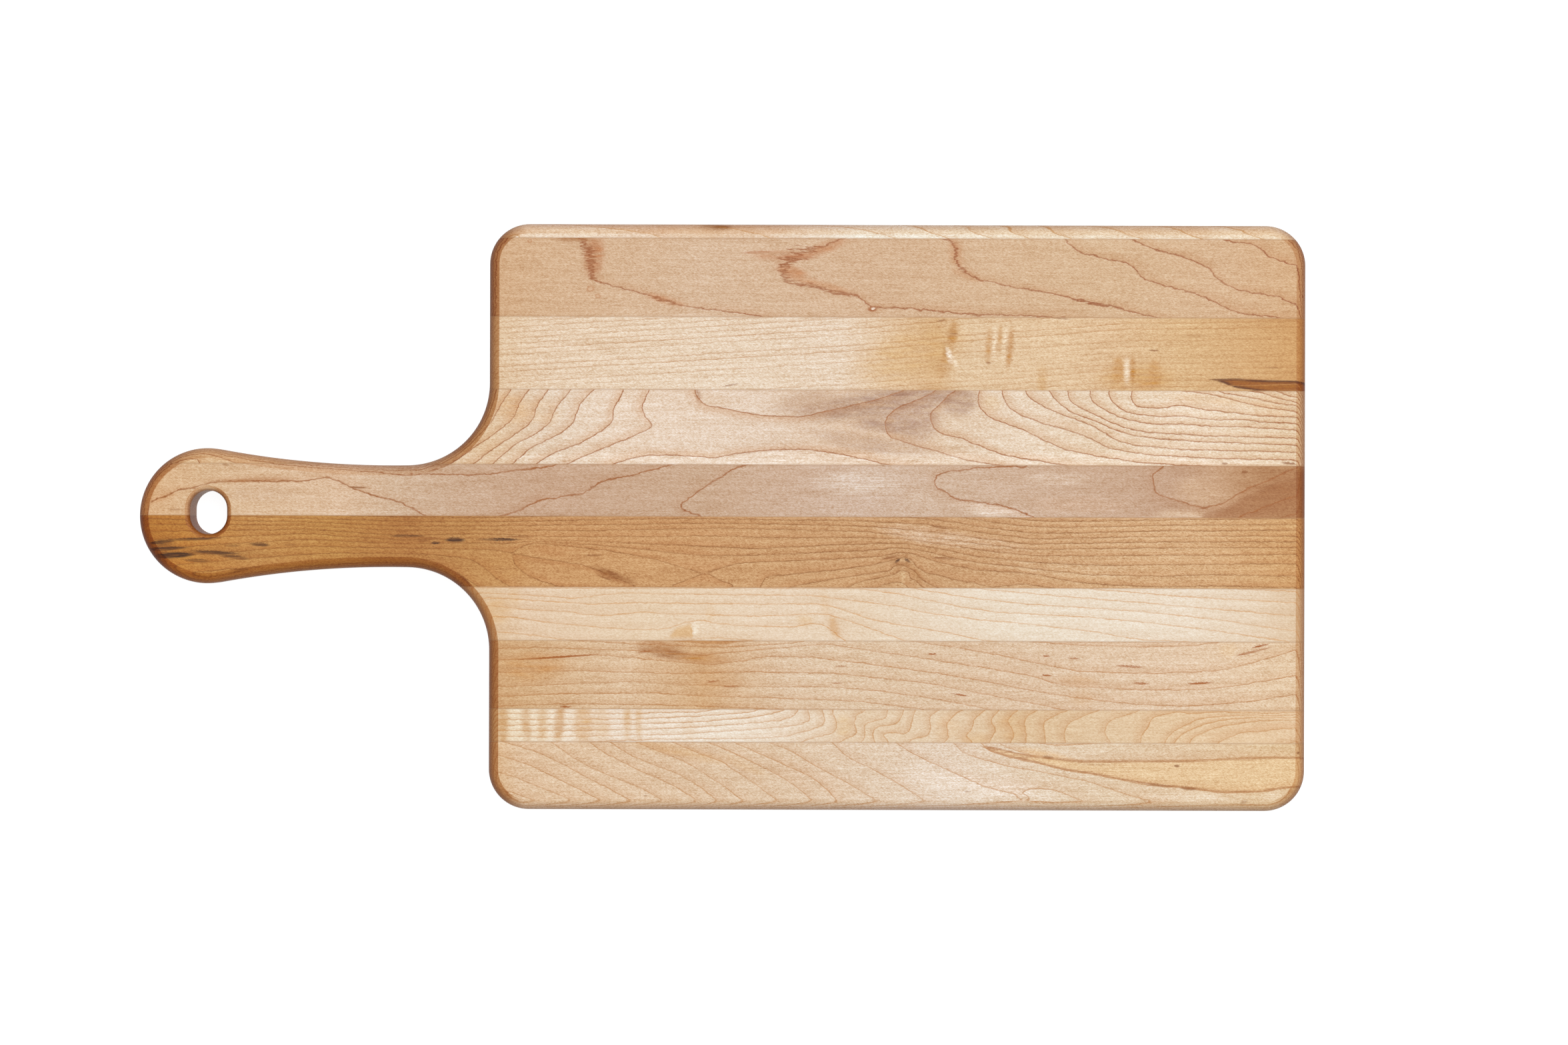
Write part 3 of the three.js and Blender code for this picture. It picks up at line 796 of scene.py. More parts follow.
            (7, [(-100, -39.5), (-85, -41), (-65, -42), (-60, -43), (-50, -43.3), (-44, -42.8),
                (-36, -41.8), (-25, -42.3), (15, -43.3), (35, -42.4), (44, -42), (50, -43.5), (57, -45.5),
                (65, -48.5), (75, -52), (80, -53.7)]),
            (6, [(-99, -44), (-90, -44.5), (-80, -46), (-70, -47), (-50, -48.8), (-40, -49.4),
                (-30, -49.5), (-24, -48.8), (-15, -46), (-12, -45.2), (-9, -45.2), (-6, -46), (8, -47.5),
                (32, -48), (36, -46.8), (40, -46), (44, -46.8), (47, -48.8), (50, -51), (54, -54)]),
            (5, [(-97, -51), (-90, -51.2), (-80, -52.5), (-68, -54)]),
            (10, [(60, -31), (75, -33), (90, -36), (103, -38.5), (120, -41), (160, -42.8), (185, -45),
                (210, -47.8), (240, -52)]),
            (11, [(85, -31), (110, -35), (135, -37.5), (180, -40), (215, -43.5), (253, -49)]),
            (12, [(120, -31.5), (150, -34), (190, -37), (253, -42)]),
        ],
        "ground": [
            (-102, 0xDEBF9A), (-85, 0xE3C8AA), (-30, 0xE4CCAE), (27, 0xE5CFB5), (61, 0xE3CDB2),
            (96, 0xE5D3BC), (131, 0xE7D8C3), (201, 0xE8D8C3), (235, 0xE1CBB0), (254, 0xD9BC99),
        ],
        "patches": [
            (-98, -42, 8, 9, -60, 0xDDB27C, 0.5), (45, -38, 3, 8, 8, 0xD8AE7A, 0.3),
            (49, -48, 3, 7, 14, 0xCF9C5E, 0.7), (36, -45, 5, 4, 0, 0xDDB989, 0.4),
            (-11.3, -49, 1.2, 5, -8, 0xF1E2CB, 0.9), (-90, -36, 4, 7, 0, 0xDDB889, 0.35),
            (-5, -42, 3, 5, 0, 0xE0BD92, 0.35),
        ],
        "stains": [{
            "upper": [(-24, -53), (-20, -47.6), (-15, -46), (-12.6, -45.4), (-12.2, -60), (300, -60)],
            "lower": [(-24, -54), (300, -54)],
            "goes_down": 12, "colour": 0xD5A566, "edge": 0xD5A566, "amount": 0.65, "soft": 2.5,
        }],
        "line_strength": 0.8, "line_colour": 0xCE9659, "broken": 0.5, "fibre": 0.6, "shade": 0.14,
    },
    "stave_8": {
        "lines": [
            (8, [(-60, -54.5), (-30, -56), (0, -57), (30, -55)]),
            (7, [(-100, -58), (-80, -57.5), (-40, -58.5), (-10, -60.5), (10, -58.5), (45, -55.2),
                (60, -57.3), (80, -60), (100, -63), (115, -65.3), (135, -68.5), (145, -71.8),
                (155, -73.5), (163, -73.3), (180, -74.3), (200, -74.3), (212, -73.8), (225, -72),
                (240, -69.5), (253, -67)]),
            (6, [(-95, -63), (-82, -62.2), (-68, -61.2), (-53, -60.5), (-30, -62.5), (-5, -64.5),
                (10, -62.5), (20, -60.7), (40, -61), (70, -64.5), (100, -68.5), (120, -72), (135, -75),
                (155, -78), (180, -80.5), (200, -81.3), (215, -80.5), (230, -79), (250, -75.8)]),
            (5, [(-100, -68.5), (-60, -67.5), (-20, -68.5), (10, -67.5), (50, -68), (90, -72),
                (130, -79.5), (150, -83.5)]),
            (4, [(-90, -74.5), (-62, -73), (-40, -72), (-20, -73), (15, -74), (45, -73.7), (70, -75.5),
                (100, -80), (115, -83)]),
            (3, [(-100, -79), (-70, -77.5), (-30, -77), (-10, -78), (20, -78.7), (60, -80), (85, -83)]),
            (8, [(80, -53.5), (100, -56), (120, -59.5), (135, -62.5), (155, -66.3), (170, -67),
                (190, -67), (205, -66.5), (218, -65.5), (228, -63), (240, -59.5), (250, -56.5)]),
            (9, [(128, -53), (155, -55), (180, -55.6), (205, -55), (218, -53)]),
        ],
        "ground": [
            (-102, 0xCFA474), (-85, 0xD4AE82), (-43, 0xDDBF9D), (-8, 0xD3AB7E), (27, 0xDCC1A3),
            (61, 0xDCC2A4), (131, 0xDABEA0), (201, 0xDEC2A4), (254, 0xDEC19E),
        ],
        "patches": [
            (-30, -55.5, 8, 2.5, 0, 0xB97A3E, 0.55), (-24, -59.6, 16, 3.2, -9, 0xA0632A, 0.75),
            (-27, -57, 14, 3, 0, 0xB0743A, 0.6), (-8, -61.8, 16, 3, -4, 0xBE8448, 0.6),
            (-82, -66, 20, 9, 0, 0xCB9458, 0.6), (-10, -62.5, 10, 1.5, -6, 0xC08C55, 0.5),
            (155, -70.5, 12, 3.5, -5, 0xCF9D68, 0.4), (-2, -71, 14, 7, 0, 0xCB9A67, 0.35),
            (157, -78, 8, 5, 0, 0xD2A87A, 0.35), (220, -56, 5, 6, 0, 0xE7C79C, 0.4),
        ],
        "stains": [{
            "upper": [(-300, -60), (-27, -60), (-25, -53), (14, -53), (18, -60), (300, -60)],
            "lower": [(-27, -54), (-18, -55), (-6, -55.8), (2, -55.9), (8, -54.9), (14, -54)],
            "goes_down": 8, "colour": 0xC1823F, "edge": 0xB97A3A, "amount": 0.72, "soft": 0.8,
        }],
        "flecks": [
            (-70, -61.5, 34, 1, 4, 0.95), (91.5, -59.3, 4.4, 0.8, 0, 1), (103.5, -76.9, 7.8, 0.8, -9, 1),
            (52, -64.9, 5.2, 0.8, 0, 0.8), (50, -72.1, 4.4, 0.8, 0, 0.8), (141, -59.8, 3.4, 0.9, 0, 0.9),
            (141.5, -68.3, 4.2, 0.9, -6, 1), (153, -60.8, 5.2, 0.7, -4, 0.7),
            (177.5, -64.2, 11.7, 1, -3, 1), (182, -71.5, 7.2, 0.9, -2, 1), (208, -71.3, 11.1, 1, 4, 1),
            (231, -57.4, 15.6, 1.1, 14, 1), (234, -54.9, 7.2, 1, 12, 1), (4, -74, 7.8, 0.8, 0, 0.9),
            (-68, -83.2, 5.2, 0.8, 0, 1), (-4, -71.8, 5.2, 0.8, 8, 0.8), (-34, -59.2, 6.5, 0.8, 8, 0.8),
        ],
        "line_strength": 0.9, "line_colour": 0xB67A42, "broken": 0.6, "shade": 0.25,
        "fleck_tone": 0xA45A1C,
    },
    "stave_9": {
        "lines": [
            (-7, [(-100, -86.5), (-70, -86), (-40, -86), (-10, -85), (0, -83.5)]),
            (-6, [(-100, -89), (-70, -88.6), (-40, -88.5), (-10, -87), (12, -85)]),
            (-5, [(-100, -91.5), (-70, -91), (-40, -90.5), (-10, -89.5), (15, -87.2), (27, -84)]),
            (-4, [(-100, -93.7), (-70, -93.6), (-40, -93), (-10, -91.6), (15, -89.6), (25, -88.5),
                (31, -87), (33, -84)]),
            (-3, [(-100, -96), (-75, -96.5), (-45, -95.5), (-20, -95), (0, -93.5), (20, -92), (30, -91),
                (37, -89.5), (38.5, -88), (37.5, -84)]),
            (-2, [(-60, -98.5), (-28, -97), (0, -96.7), (20, -96.3), (30, -95), (36, -93.2), (42, -91.5),
                (45, -89), (44, -84)]),
            (-1, [(33, -98.5), (42, -95.5), (48, -94), (50, -91.5), (50, -89), (48, -87), (48, -84)]),
            (0, [(50, -98.5), (55, -96), (58, -94.5), (59, -92.5), (57.5, -90), (58, -87.5), (62, -84)]),
            (1, [(60, -98.5), (62.5, -95), (62.5, -93), (61.5, -91), (63, -89.5), (68, -88.5),
                (71, -87.5), (72, -84)]),
            (2, [(67, -98.5), (65.5, -93), (66.5, -91.2), (75, -90), (77.5, -88), (77, -86), (79, -84)]),
            (3, [(73, -98.5), (70.5, -96.5), (70, -94.7), (73, -93.5), (81, -93.7), (82.7, -91.5),
                (82.5, -88), (84, -84)]),
            (4, [(80, -98.5), (83, -96), (90, -95), (91, -92), (90, -88.5), (91, -86), (94, -84)]),
            (5, [(95, -98.5), (98.5, -96), (99, -93.5), (97.5, -90), (100, -87), (104, -84)]),
            (6, [(109.5, -98.5), (107, -96), (105.5, -94), (109, -91.8), (109.5, -88), (111, -86),
                (114, -84)]),
            (7, [(116, -98.5), (116, -96), (119, -94), (119.5, -92), (117, -88), (120, -84)]),
            (8, [(125, -98.5), (127, -96), (127, -93.5), (124.5, -88.5), (128, -84)]),
            (9, [(132, -98.5), (133, -95.5), (131.5, -90), (132, -87), (136, -84)]),
            (10, [(140.5, -98.5), (141, -95), (139.8, -90), (141, -87.5), (149, -84)]),
            (11, [(149.5, -98.5), (149, -92.5), (152, -88), (161, -84.5)]),
            (12, [(170, -99), (167, -94), (166.5, -91.5), (169, -87.5), (180, -84)]),
            (13, [(181.5, -99), (183, -93), (186, -89.5), (184.5, -88), (187, -86.5), (198, -84)]),
            (14, [(192, -99), (192.5, -96.5), (197, -92), (201, -90.5), (204, -88), (213, -86),
                (222, -85.3), (252, -85)]),
            (15, [(196, -99), (199, -94.5), (202, -92.5), (206, -90.5), (212, -88.5), (220, -87),
                (232, -86), (252, -86)]),
            (16, [(203.5, -99), (203.5, -96.5), (206, -94), (210, -92.5), (215, -90.5), (226, -88.5),
                (240, -87), (252, -87)]),
            (17, [(214, -99), (217, -96.5), (221, -94.5), (226, -92.5), (237, -92), (252, -91)]),
            (18, [(242, -99), (247, -97), (252, -96)]),
        ],
        "dip": -1,
        "stretch": 0.8,
        "ground": [
            (-102, 0xDEBC8D), (-90, 0xEFDFC4), (-50, 0xEEDECB), (0, 0xEEE1CF), (30, 0xE7D4BD),
            (61, 0xE0C7A8), (96, 0xE1C9AB), (131, 0xDABB94), (166, 0xDEC29E), (201, 0xE0C29C),
            (254, 0xE2C49F),
        ],
        "patches": [
            (-95, -91, 3.4, 14, 0, 0xCB9A5E, 0.65), (-85, -90, 2.8, 14, 4, 0xCB9A5E, 0.65),
            (-78, -90, 3, 14, 0, 0xD3A870, 0.55), (-70.5, -90, 3.2, 14, -6, 0xCB9A60, 0.65),
            (-60, -90, 6, 14, 0, 0xD9B07E, 0.7), (-52, -91, 5, 14, 0, 0xE0C097, 0.5),
            (-41, -88, 2.4, 14, 0, 0xD9B382, 0.6), (-36, -88, 2.2, 14, 0, 0xD9B382, 0.6),
            (-66, -90, 2.4, 14, 0, 0xF0E3D2, 0.3), (-46, -89, 2.6, 14, 0, 0xF2E7D8, 0.4),
            (-74, -90, 1.6, 14, 0, 0xF0E2CF, 0.25), (-14, -92, 4, 6, 0, 0xDCBB94, 0.35),
            (53, -91, 5, 7, 0, 0xDBB582, 0.5), (98, -91, 8, 8, 0, 0xDFBB8F, 0.4),
            (110, -96, 9, 4, 0, 0xD9B07B, 0.4), (125, -91, 10, 8, 0, 0xD8AD76, 0.4),
        ],
        "line_strength": 0.75, "line_colour": 0xC2884A, "wobble": 1.4, "fibre": 0.7, "shade": 0.36,
        "shade_before": True,
    },
    "stave_10": {
        "lines": [
            (0, [(-101, -117), (-90, -121), (-84, -123)]),
            (1, [(-100, -111), (-88, -114.5), (-77, -119), (-67, -123)]),
            (2, [(-98, -104), (-84, -108.5), (-72, -114), (-62, -119), (-54, -123)]),
            (3, [(-95, -98.5), (-80, -103), (-68, -108.5), (-58, -114), (-48, -119), (-41, -123)]),
            (4, [(-75, -98), (-68, -103), (-61, -107.5), (-50, -112.5), (-42, -115.5), (-34, -118.8),
                (-26.5, -123)]),
            (5, [(-58, -98), (-50, -103.5), (-38, -109.5), (-30, -113), (-20, -117.5), (-11.5, -123)]),
            (6, [(-49, -98), (-40, -104), (-30, -108), (-20, -111.5), (-11, -116.5), (-2.5, -123)]),
            (7, [(-38, -98), (-20, -105), (-13, -108.2), (-8, -111.5), (0, -116.5), (8.7, -123)]),
            (8, [(-22, -98), (-10, -103), (0, -106.5), (5, -110), (10, -113), (17, -118), (24, -123)]),
            (9, [(-6, -98), (10, -105), (17, -108.5), (25, -112.5), (33, -117.5), (39, -123)]),
            (10, [(5, -98), (20, -104.5), (30, -109), (38, -112.5), (45, -117.5), (50, -123)]),
            (11, [(20, -98), (30, -101.5), (37, -106), (45, -110.5), (54, -115), (60, -118.5),
                (67, -123)]),
            (12, [(48, -98), (53, -103), (58, -106), (65, -109), (70, -112), (77, -115.5), (82, -119),
                (88, -122.7)]),
            (13, [(76, -98), (82, -102), (88, -105), (95, -108), (100, -110.5), (108, -114), (115, -117),
                (123, -119), (130, -120.7), (132, -123)]),
            (14, [(101, -98), (105, -102), (110, -104), (118, -106), (125, -108), (138, -110),
                (150, -112.3), (160, -114.5), (168, -117), (175, -119.5), (187, -122.7)]),
            (15, [(113, -98), (116, -101), (125, -104), (135, -106), (150, -109.7), (160, -111),
                (176, -114), (183, -115.3), (190, -116.2), (200, -116.7), (210, -118), (218, -119),
                (235, -118.5), (243, -117), (252, -116)]),
            (16, [(121, -98), (128, -101), (135, -103), (142, -104), (158, -105.2), (170, -105),
                (205, -104.7), (220, -104), (230, -103.3), (237, -103), (252, -103)]),
        ],
        "ground": [
            (-102, 0xDAB283), (-88, 0xE0C19F), (27, 0xDDC2A4), (75, 0xE0C9B0), (96, 0xE1CCB6),
            (140, 0xE0CAAF), (166, 0xDFC7A9), (201, 0xDDC19F), (254, 0xDEC096),
        ],
        "patches": [
            (-20, -102, 30, 3.5, -12, 0xD8AB74, 0.5), (10, -108, 16, 3, -25, 0xD9AF7C, 0.35),
            (110, -116, 46, 7, -8, 0xEEDDCB, 0.6), (205, -121, 30, 3, 0, 0xECD8BE, 0.5),
            (240, -120, 9, 3, 10, 0xECD6B9, 0.6), (40, -114, 30, 8, -20, 0xDDBE9F, 0.4),
            (140, -103, 18, 3, -12, 0xE2B77E, 0.5),
        ],
        "stains": [{
            "upper": [
                (110, -120), (112, -98.5), (121, -100), (128, -101.8), (135, -103), (142, -104),
                (158, -105.2), (205, -104.7), (220, -104), (237, -103), (256, -103),
            ],
            "lower": [
                (110, -98), (113, -99.5), (117, -101.5), (125, -104), (135, -106), (150, -109.7),
                (160, -111), (176, -114), (190, -116.2), (203, -117.3), (218, -119), (235, -118.5),
                (243, -117), (256, -116),
            ],
            "goes_down": 12, "colour": 0xE4C191, "edge": 0xAF6F30, "amount": 0.75, "soft": 0.4,
            "outline": 0.35, "heart": 1.3,
        }],
        "flecks": [
            (198, -107.3, 2.4, 1.4, 0, 0.8), (203, -117, 8, 1.8, -5, 0.7),
            (191, -115.9, 12, 1.2, -3, 0.6), (142, -103.8, 5, 1.4, -4, 0.6), (162, -107, 18, 0.8, 0, 0.3),
            (107, -119, 3, 0.6, -4, 0.5), (250.7, -101.3, 1.2, 1, 0, 0.8), (227, -122.9, 4, 1.6, 20, 0.4),
            (-33, -121.6, 1.5, 0.9, 0, 0.5),
        ],
        "line_strength": 0.8, "rim": 0xFDFAF6, "line_colour": 0xC08A56, "wobble": 0.9, "shade": 0.25,
    },
}


# ---------------------------------------------------------------- materials
def add(tree, kind, links=(), output=0, **settings):
    """Adds one shader node and gives one of its outputs, by number or name. Links are its inputs, in
    order or by number or name: an output is wired in, and anything else is the input's value. Settings
    are the node's own properties."""
    node = tree.nodes.new("ShaderNode" + kind)
    for name, value in settings.items():
        setattr(node, name, value)
    for name, value in links.items() if isinstance(links, dict) else enumerate(links):
        if isinstance(value, bpy.types.NodeSocket):
            tree.links.new(value, node.inputs[name])
        else:
            node.inputs[name].default_value = value
    return node.outputs[output] if node.outputs else None


def blank_material(name):
    material = bpy.data.materials.new(name)
    material.use_nodes = True
    tree = material.node_tree
    tree.nodes.clear()
    return material, tree


# Settings that many nodes share, and the numbers of a Mix node's colour sockets.
SMOOTH = {"interpolation_type": "SMOOTHSTEP"}
COLOURS = {"data_type": "RGBA"}
TINTING = {"data_type": "RGBA", "blend_type": "MULTIPLY"}
UNDER, OVER, MIXED = 6, 7, 2

AMBER_SHADE = 0xE3B987  # tints the wood beside a growth line
SHADE_REACH = 5.0  # millimetres over which that shade fades out
SHADE_LIMIT = 0.8  # and the most of the way to the next line that it may reach
LINE_LIMIT = 0.16  # the most of the way to the next line that half a growth line may take
PIN_BROWN = 0x8E5220
SOAKED_BROWN = 0x9C6B42

# The fibre patterns: cell size in millimetres along, across and through the board, detail, roughness
# and turn in degrees. Fibres of hard maple are about 0.7 mm long, and the marks are drawn about as long.
# Fibres and vessels are under 0.1 mm wide, too fine to show, so all marks are drawn at least three times
# as wide. Streaks and bands are the rows and belts that fibres lie in.
GRAIN = {
    "marks": ((0.95, 0.33, 0.6), 2.0, 0.55, -24),
    "counter_marks": ((1.3, 0.36, 0.6), 2.0, 0.55, 14),
    "streaks": ((16, 0.55, 0.7), 4.0, 0.6, 0),
    "bands": ((70, 2.2, 2.2), 3.0, 0.55, 0),
    "mottle": ((9, 2.4, 2.4), 2.0, 0.55, 0),
    "clouds": ((38, 9, 9), 2.0, 0.55, 0),
    "ripple": ((3.4, 2.2, 2.2), 3.0, 0.55, 0),
    "fringes": ((5.5, 0.9, 0.9), 3.0, 0.55, 0),
}


def fibre_patterns(tree, place):
    """Every pattern of GRAIN as noise that swings about 0.5, by name."""
    patterns = {}
    for name, (cell, detail, roughness, turn) in GRAIN.items():
        fitted = add(tree, "Mapping", {
            "Vector": place, "Rotation": (0, 0, math.radians(turn)), "Scale": cell,
        }, vector_type="TEXTURE")
        patterns[name] = add(tree, "TexNoise", {
            "Vector": fitted, "Scale": 1.0, "Detail": detail, "Roughness": roughness,
        }, "Fac")
    return patterns


def ground_and_stains(tree, stave, grain):
    """The ground colour, its patches feathered into it along the streaks, and the stains over both. How
    far inside a stain a place lies is frayed by the streaks; by it the stain sets in with its edge
    colour and goes over to its heart colour."""
    feather = add(tree, "Math", (grain["streaks"], grain["mottle"]), operation="ADD")
    feather = add(tree, "Math", (feather, 2.0, -1.1), operation="MULTIPLY_ADD")
    ground, patched = (
        add(tree, "Attribute", (), "Color", attribute_name=field) for field in ("ground", "patched")
    )
    colour = add(tree, "Mix", {0: feather, UNDER: ground, OVER: patched}, MIXED,
                 clamp_factor=False, **COLOURS)
    for i, stain in enumerate(stave.get("stains", [])):
        inside = add(tree, "Attribute", (), "Fac", attribute_name=f"stain_{i + 1}")
        streaky = add(tree, "Math", (grain["streaks"], 1.6, -0.8), operation="MULTIPLY_ADD")
        frayed = add(tree, "Math", (inside, streaky), operation="ADD")
        soft, outline, deep = stain.get("soft", 0.5), stain.get("outline", 0.0), stain.get("heart", 2.4)
        body = add(tree, "MapRange", (frayed, -0.15, soft, 0.0, stain["amount"]), **SMOOTH)
        heart = add(tree, "MapRange", (frayed, outline, deep), **SMOOTH)
        tones = {0: heart, UNDER: rgba(stain["edge"]), OVER: rgba(stain["colour"])}
        tone = add(tree, "Mix", tones, MIXED, **COLOURS)
        colour = add(tree, "Mix", {0: body, UNDER: colour, OVER: tone}, MIXED, **COLOURS)
    return colour


def growth_lines(tree, stave, grain, colour):
    """A line of dark late wood, 0.7 to 0.9 mm wide, wherever the ring number passes a whole number, and
    an amber shade that fades out over 5 mm beside it. Ripples wave the line, and fringes fray it. Lines
    and shade narrow with the spacing of crowded rings. Each ring has a weight of its own, and streaks
    and clouds break and fade it."""
    ring, slope, fray = (
        add(tree, "Attribute", (), "Fac", attribute_name=field) for field in ("ring", "ring_slope", "fray")
    )
    slope = add(tree, "Math", (slope, 0.002), operation="MAXIMUM")
    ripple = add(tree, "Math", (grain["ripple"], 0.5), operation="SUBTRACT")
    ripple = add(tree, "Math", (ripple, stave.get("wobble", 1.2)), operation="MULTIPLY")
    fringe = add(tree, "Math", (grain["fringes"], 0.5), operation="SUBTRACT")
    fringe = add(tree, "Math", (fringe, fray), operation="MULTIPLY")
    wave = add(tree, "Math", (ripple, fringe), operation="ADD")
    wave = add(tree, "Math", (wave, slope), operation="MULTIPLY")
    ring = add(tree, "Math", (ring, wave), operation="ADD")
    past = add(tree, "Math", (ring,), operation="FRACT")
    before = add(tree, "Math", (1.0, past), operation="SUBTRACT")

    nearest = add(tree, "Math", (past, before), operation="MINIMUM")
    spread = add(tree, "Math", (fray, 0.1, stave.get("line_width", 0.34)), operation="MULTIPLY_ADD")
    half_line = add(tree, "Math", (slope, spread), operation="MULTIPLY")
    half_line = add(tree, "Math", (half_line, LINE_LIMIT), operation="MINIMUM")
    off_line = add(tree, "Math", (nearest, half_line), operation="DIVIDE")
    line = add(tree, "MapRange", (off_line, 0.1, 1.2, 1.0, 0.0), **SMOOTH)

    half_side = add(tree, "Math", (slope, SHADE_REACH), operation="MULTIPLY")
    half_side = add(tree, "Math", (half_side, SHADE_LIMIT), operation="MINIMUM")
    shaded = before if stave.get("shade_before") else past
    off_side = add(tree, "Math", (shaded, half_side), operation="DIVIDE")
    side = add(tree, "MapRange", (off_side, 0.0, 1.0, stave.get("shade", 0.4), 0.0), **SMOOTH)

    whole = add(tree, "Math", (ring,), operation="ROUND")
    own = add(tree, "TexWhiteNoise", {"W": whole}, "Value", noise_dimensions="1D")
    uneven = stave.get("uneven", 0.2)
    fading = add(tree, "MapRange", (grain["clouds"], 0.3, 0.6), **SMOOTH)
    fading = add(tree, "Math", (fading, 0.3, 0.75 - uneven), operation="MULTIPLY_ADD")
    weight = add(tree, "Math", (own, uneven, fading), operation="MULTIPLY_ADD")
    broken = stave.get("broken", 0.2)
    gaps = add(tree, "MapRange", (grain["streaks"], 0.4, 0.56), **SMOOTH)
    gaps = add(tree, "Math", (gaps, broken, 1 - broken), operation="MULTIPLY_ADD")

    side = add(tree, "Math", (side, weight), operation="MULTIPLY")
    colour = add(tree, "Mix", {0: side, UNDER: colour, OVER: rgba(AMBER_SHADE)}, MIXED, **TINTING)
    for share in (gaps, weight, stave["line_strength"]):
        line = add(tree, "Math", (line, share), operation="MULTIPLY")
    late_wood = rgba(stave["line_colour"])
    return add(tree, "Mix", {0: line, UNDER: colour, OVER: late_wood}, MIXED, **COLOURS)


def fibre_shading(tree, stave, grain, colour):
    """Marks, streaks and broader bands lighten and darken the wood; where it is darker it is warmer."""
    reaches = {"marks": 1.1, "counter_marks": 0.8, "streaks": 0.6, "bands": 0.3, "mottle": 0.2}
    gain = 1.0
    for name, reach in reaches.items():
        reach *= stave.get("fibre", 1.0)
        swing = add(tree, "Math", (grain[name], reach, -reach / 2), operation="MULTIPLY_ADD")
        gain = add(tree, "Math", (gain, swing), operation="ADD")
    red = add(tree, "Math", (gain, 0.6), operation="POWER")
    blue = add(tree, "Math", (gain, 1.5), operation="POWER")
    warm = add(tree, "CombineColor", (red, gain, blue))
    return add(tree, "Mix", {0: 1.0, UNDER: colour, OVER: warm}, MIXED, **TINTING)


def pin_flecks(tree, stave, grain, place, colour):
    """Dark pin flecks in the upper face, each an ellipse three millimetres deep that is soft towards
    its ends. Ripples and marks push their outlines about, and streaks let the wood through them."""
    push = Vector((1.6, 0.9, 0))
    unrest = add(tree, "CombineXYZ", (grain["ripple"], grain["marks"], 0.0))
    ragged = add(tree, "VectorMath", (unrest, push, place), operation="MULTIPLY_ADD")
    ragged = add(tree, "VectorMath", (ragged, push / 2), operation="SUBTRACT")
    fibrous = add(tree, "MapRange", (grain["streaks"], 0.4, 0.52), **SMOOTH)
    fibrous = add(tree, "Math", (fibrous, 0.55, 0.45), operation="MULTIPLY_ADD")
    for x, y, length, width, turn, amount, *own_tone in stave.get("flecks", []):
        tone = own_tone[0] if own_tone else stave.get("fleck_tone", PIN_BROWN)
        fitted = add(tree, "Mapping", {
            "Vector": ragged, "Location": (x, y - GRAIN_SKEW * (GRAIN_PIVOT_X - x), THICKNESS),
            "Rotation": (0, 0, math.radians(turn)), "Scale": (length * 0.62, width * 0.6, 3),
        }, vector_type="TEXTURE")
        ball = add(tree, "TexGradient", (fitted,), "Fac", gradient_type="SPHERICAL")
        share = add(tree, "MapRange", (ball, 0.0, 0.55, 0.0, amount), **SMOOTH)
        share = add(tree, "Math", (share, fibrous), operation="MULTIPLY")
        colour = add(tree, "Mix", {0: share, UNDER: colour, OVER: rgba(tone)}, MIXED, **COLOURS)
    return colour


def soaked_joints(tree, joints, across, grain, colour):
    """Glue and oil have soaked half a millimetre into the wood along its joints."""
    for joint in joints:
        away = add(tree, "Math", (across, joint), operation="SUBTRACT")
        away = add(tree, "Math", (away,), operation="ABSOLUTE")
        soaked = add(tree, "MapRange", (away, 0.1, 0.7, 0.3, 0.0), **SMOOTH)
        drawn_in = add(tree, "MapRange", (grain["marks"], 0.3, 0.6), **SMOOTH)
        soaked = add(tree, "Math", (soaked, drawn_in), operation="MULTIPLY")
        brown = rgba(SOAKED_BROWN)
        colour = add(tree, "Mix", {0: soaked, UNDER: colour, OVER: brown}, MIXED, **COLOURS)
    return colour


def oiled_and_shaded_rim(tree, stave, normal, colour):
    """Wherever the surface turns away from the flat faces it has drunk more oil. Where it faces along
    the grain the pores lie open, so end grain is much the darker. The steep walls also get painted shade,
    a greyish mauve darkening, and the handle end gets painted shade for lying away from the softbox. Tilt
    is the sine of the angle from the flat faces, and facing is the share of it that is along X."""
    upright = add(tree, "SeparateXYZ", (normal,), "Z")
    upright = add(tree, "Math", (upright, 2.0), operation="POWER")
    tilt = add(tree, "Math", (1.0001, upright), operation="SUBTRACT")
    tilt = add(tree, "Math", (tilt,), operation="SQRT")
    facing = add(tree, "SeparateXYZ", (normal,), "X")
    facing = add(tree, "Math", (facing, tilt), operation="DIVIDE")
    end_grain = add(tree, "Math", (facing,), operation="ABSOLUTE")
    end_grain = add(tree, "MapRange", (end_grain, 0.05, 0.75), **SMOOTH)
    handle_end_shade = add(tree, "MapRange", (facing, -0.05, -0.75), **SMOOTH)
    long_grain = add(tree, "Math", (1.0, end_grain), operation="SUBTRACT")
    border = add(tree, "MapRange", (tilt, 0.02, 0.1), **SMOOTH)
    steep_wall_shade = add(tree, "MapRange", (tilt, 0.2, 1.0), **SMOOTH)
    # The two tints on the steep walls are painted shade, a greyish mauve darkening towards the silhouette,
    # and the handle-end tint is painted shade on the end away from the softbox; the two border tints are
    # oil drunk by the rim.
    for side, turned, tint in (
        (end_grain, border, 0xEBD8C3), (end_grain, steep_wall_shade, 0xD3C3C6), (handle_end_shade, border, 0xE4CFB6),
        (long_grain, border, stave.get("rim", 0xF6ECE1)), (long_grain, steep_wall_shade, 0xE9E0E2),
    ):
        share = add(tree, "Math", (side, turned), operation="MULTIPLY")
        colour = add(tree, "Mix", {0: share, UNDER: colour, OVER: rgba(tint)}, MIXED, **TINTING)
    return colour


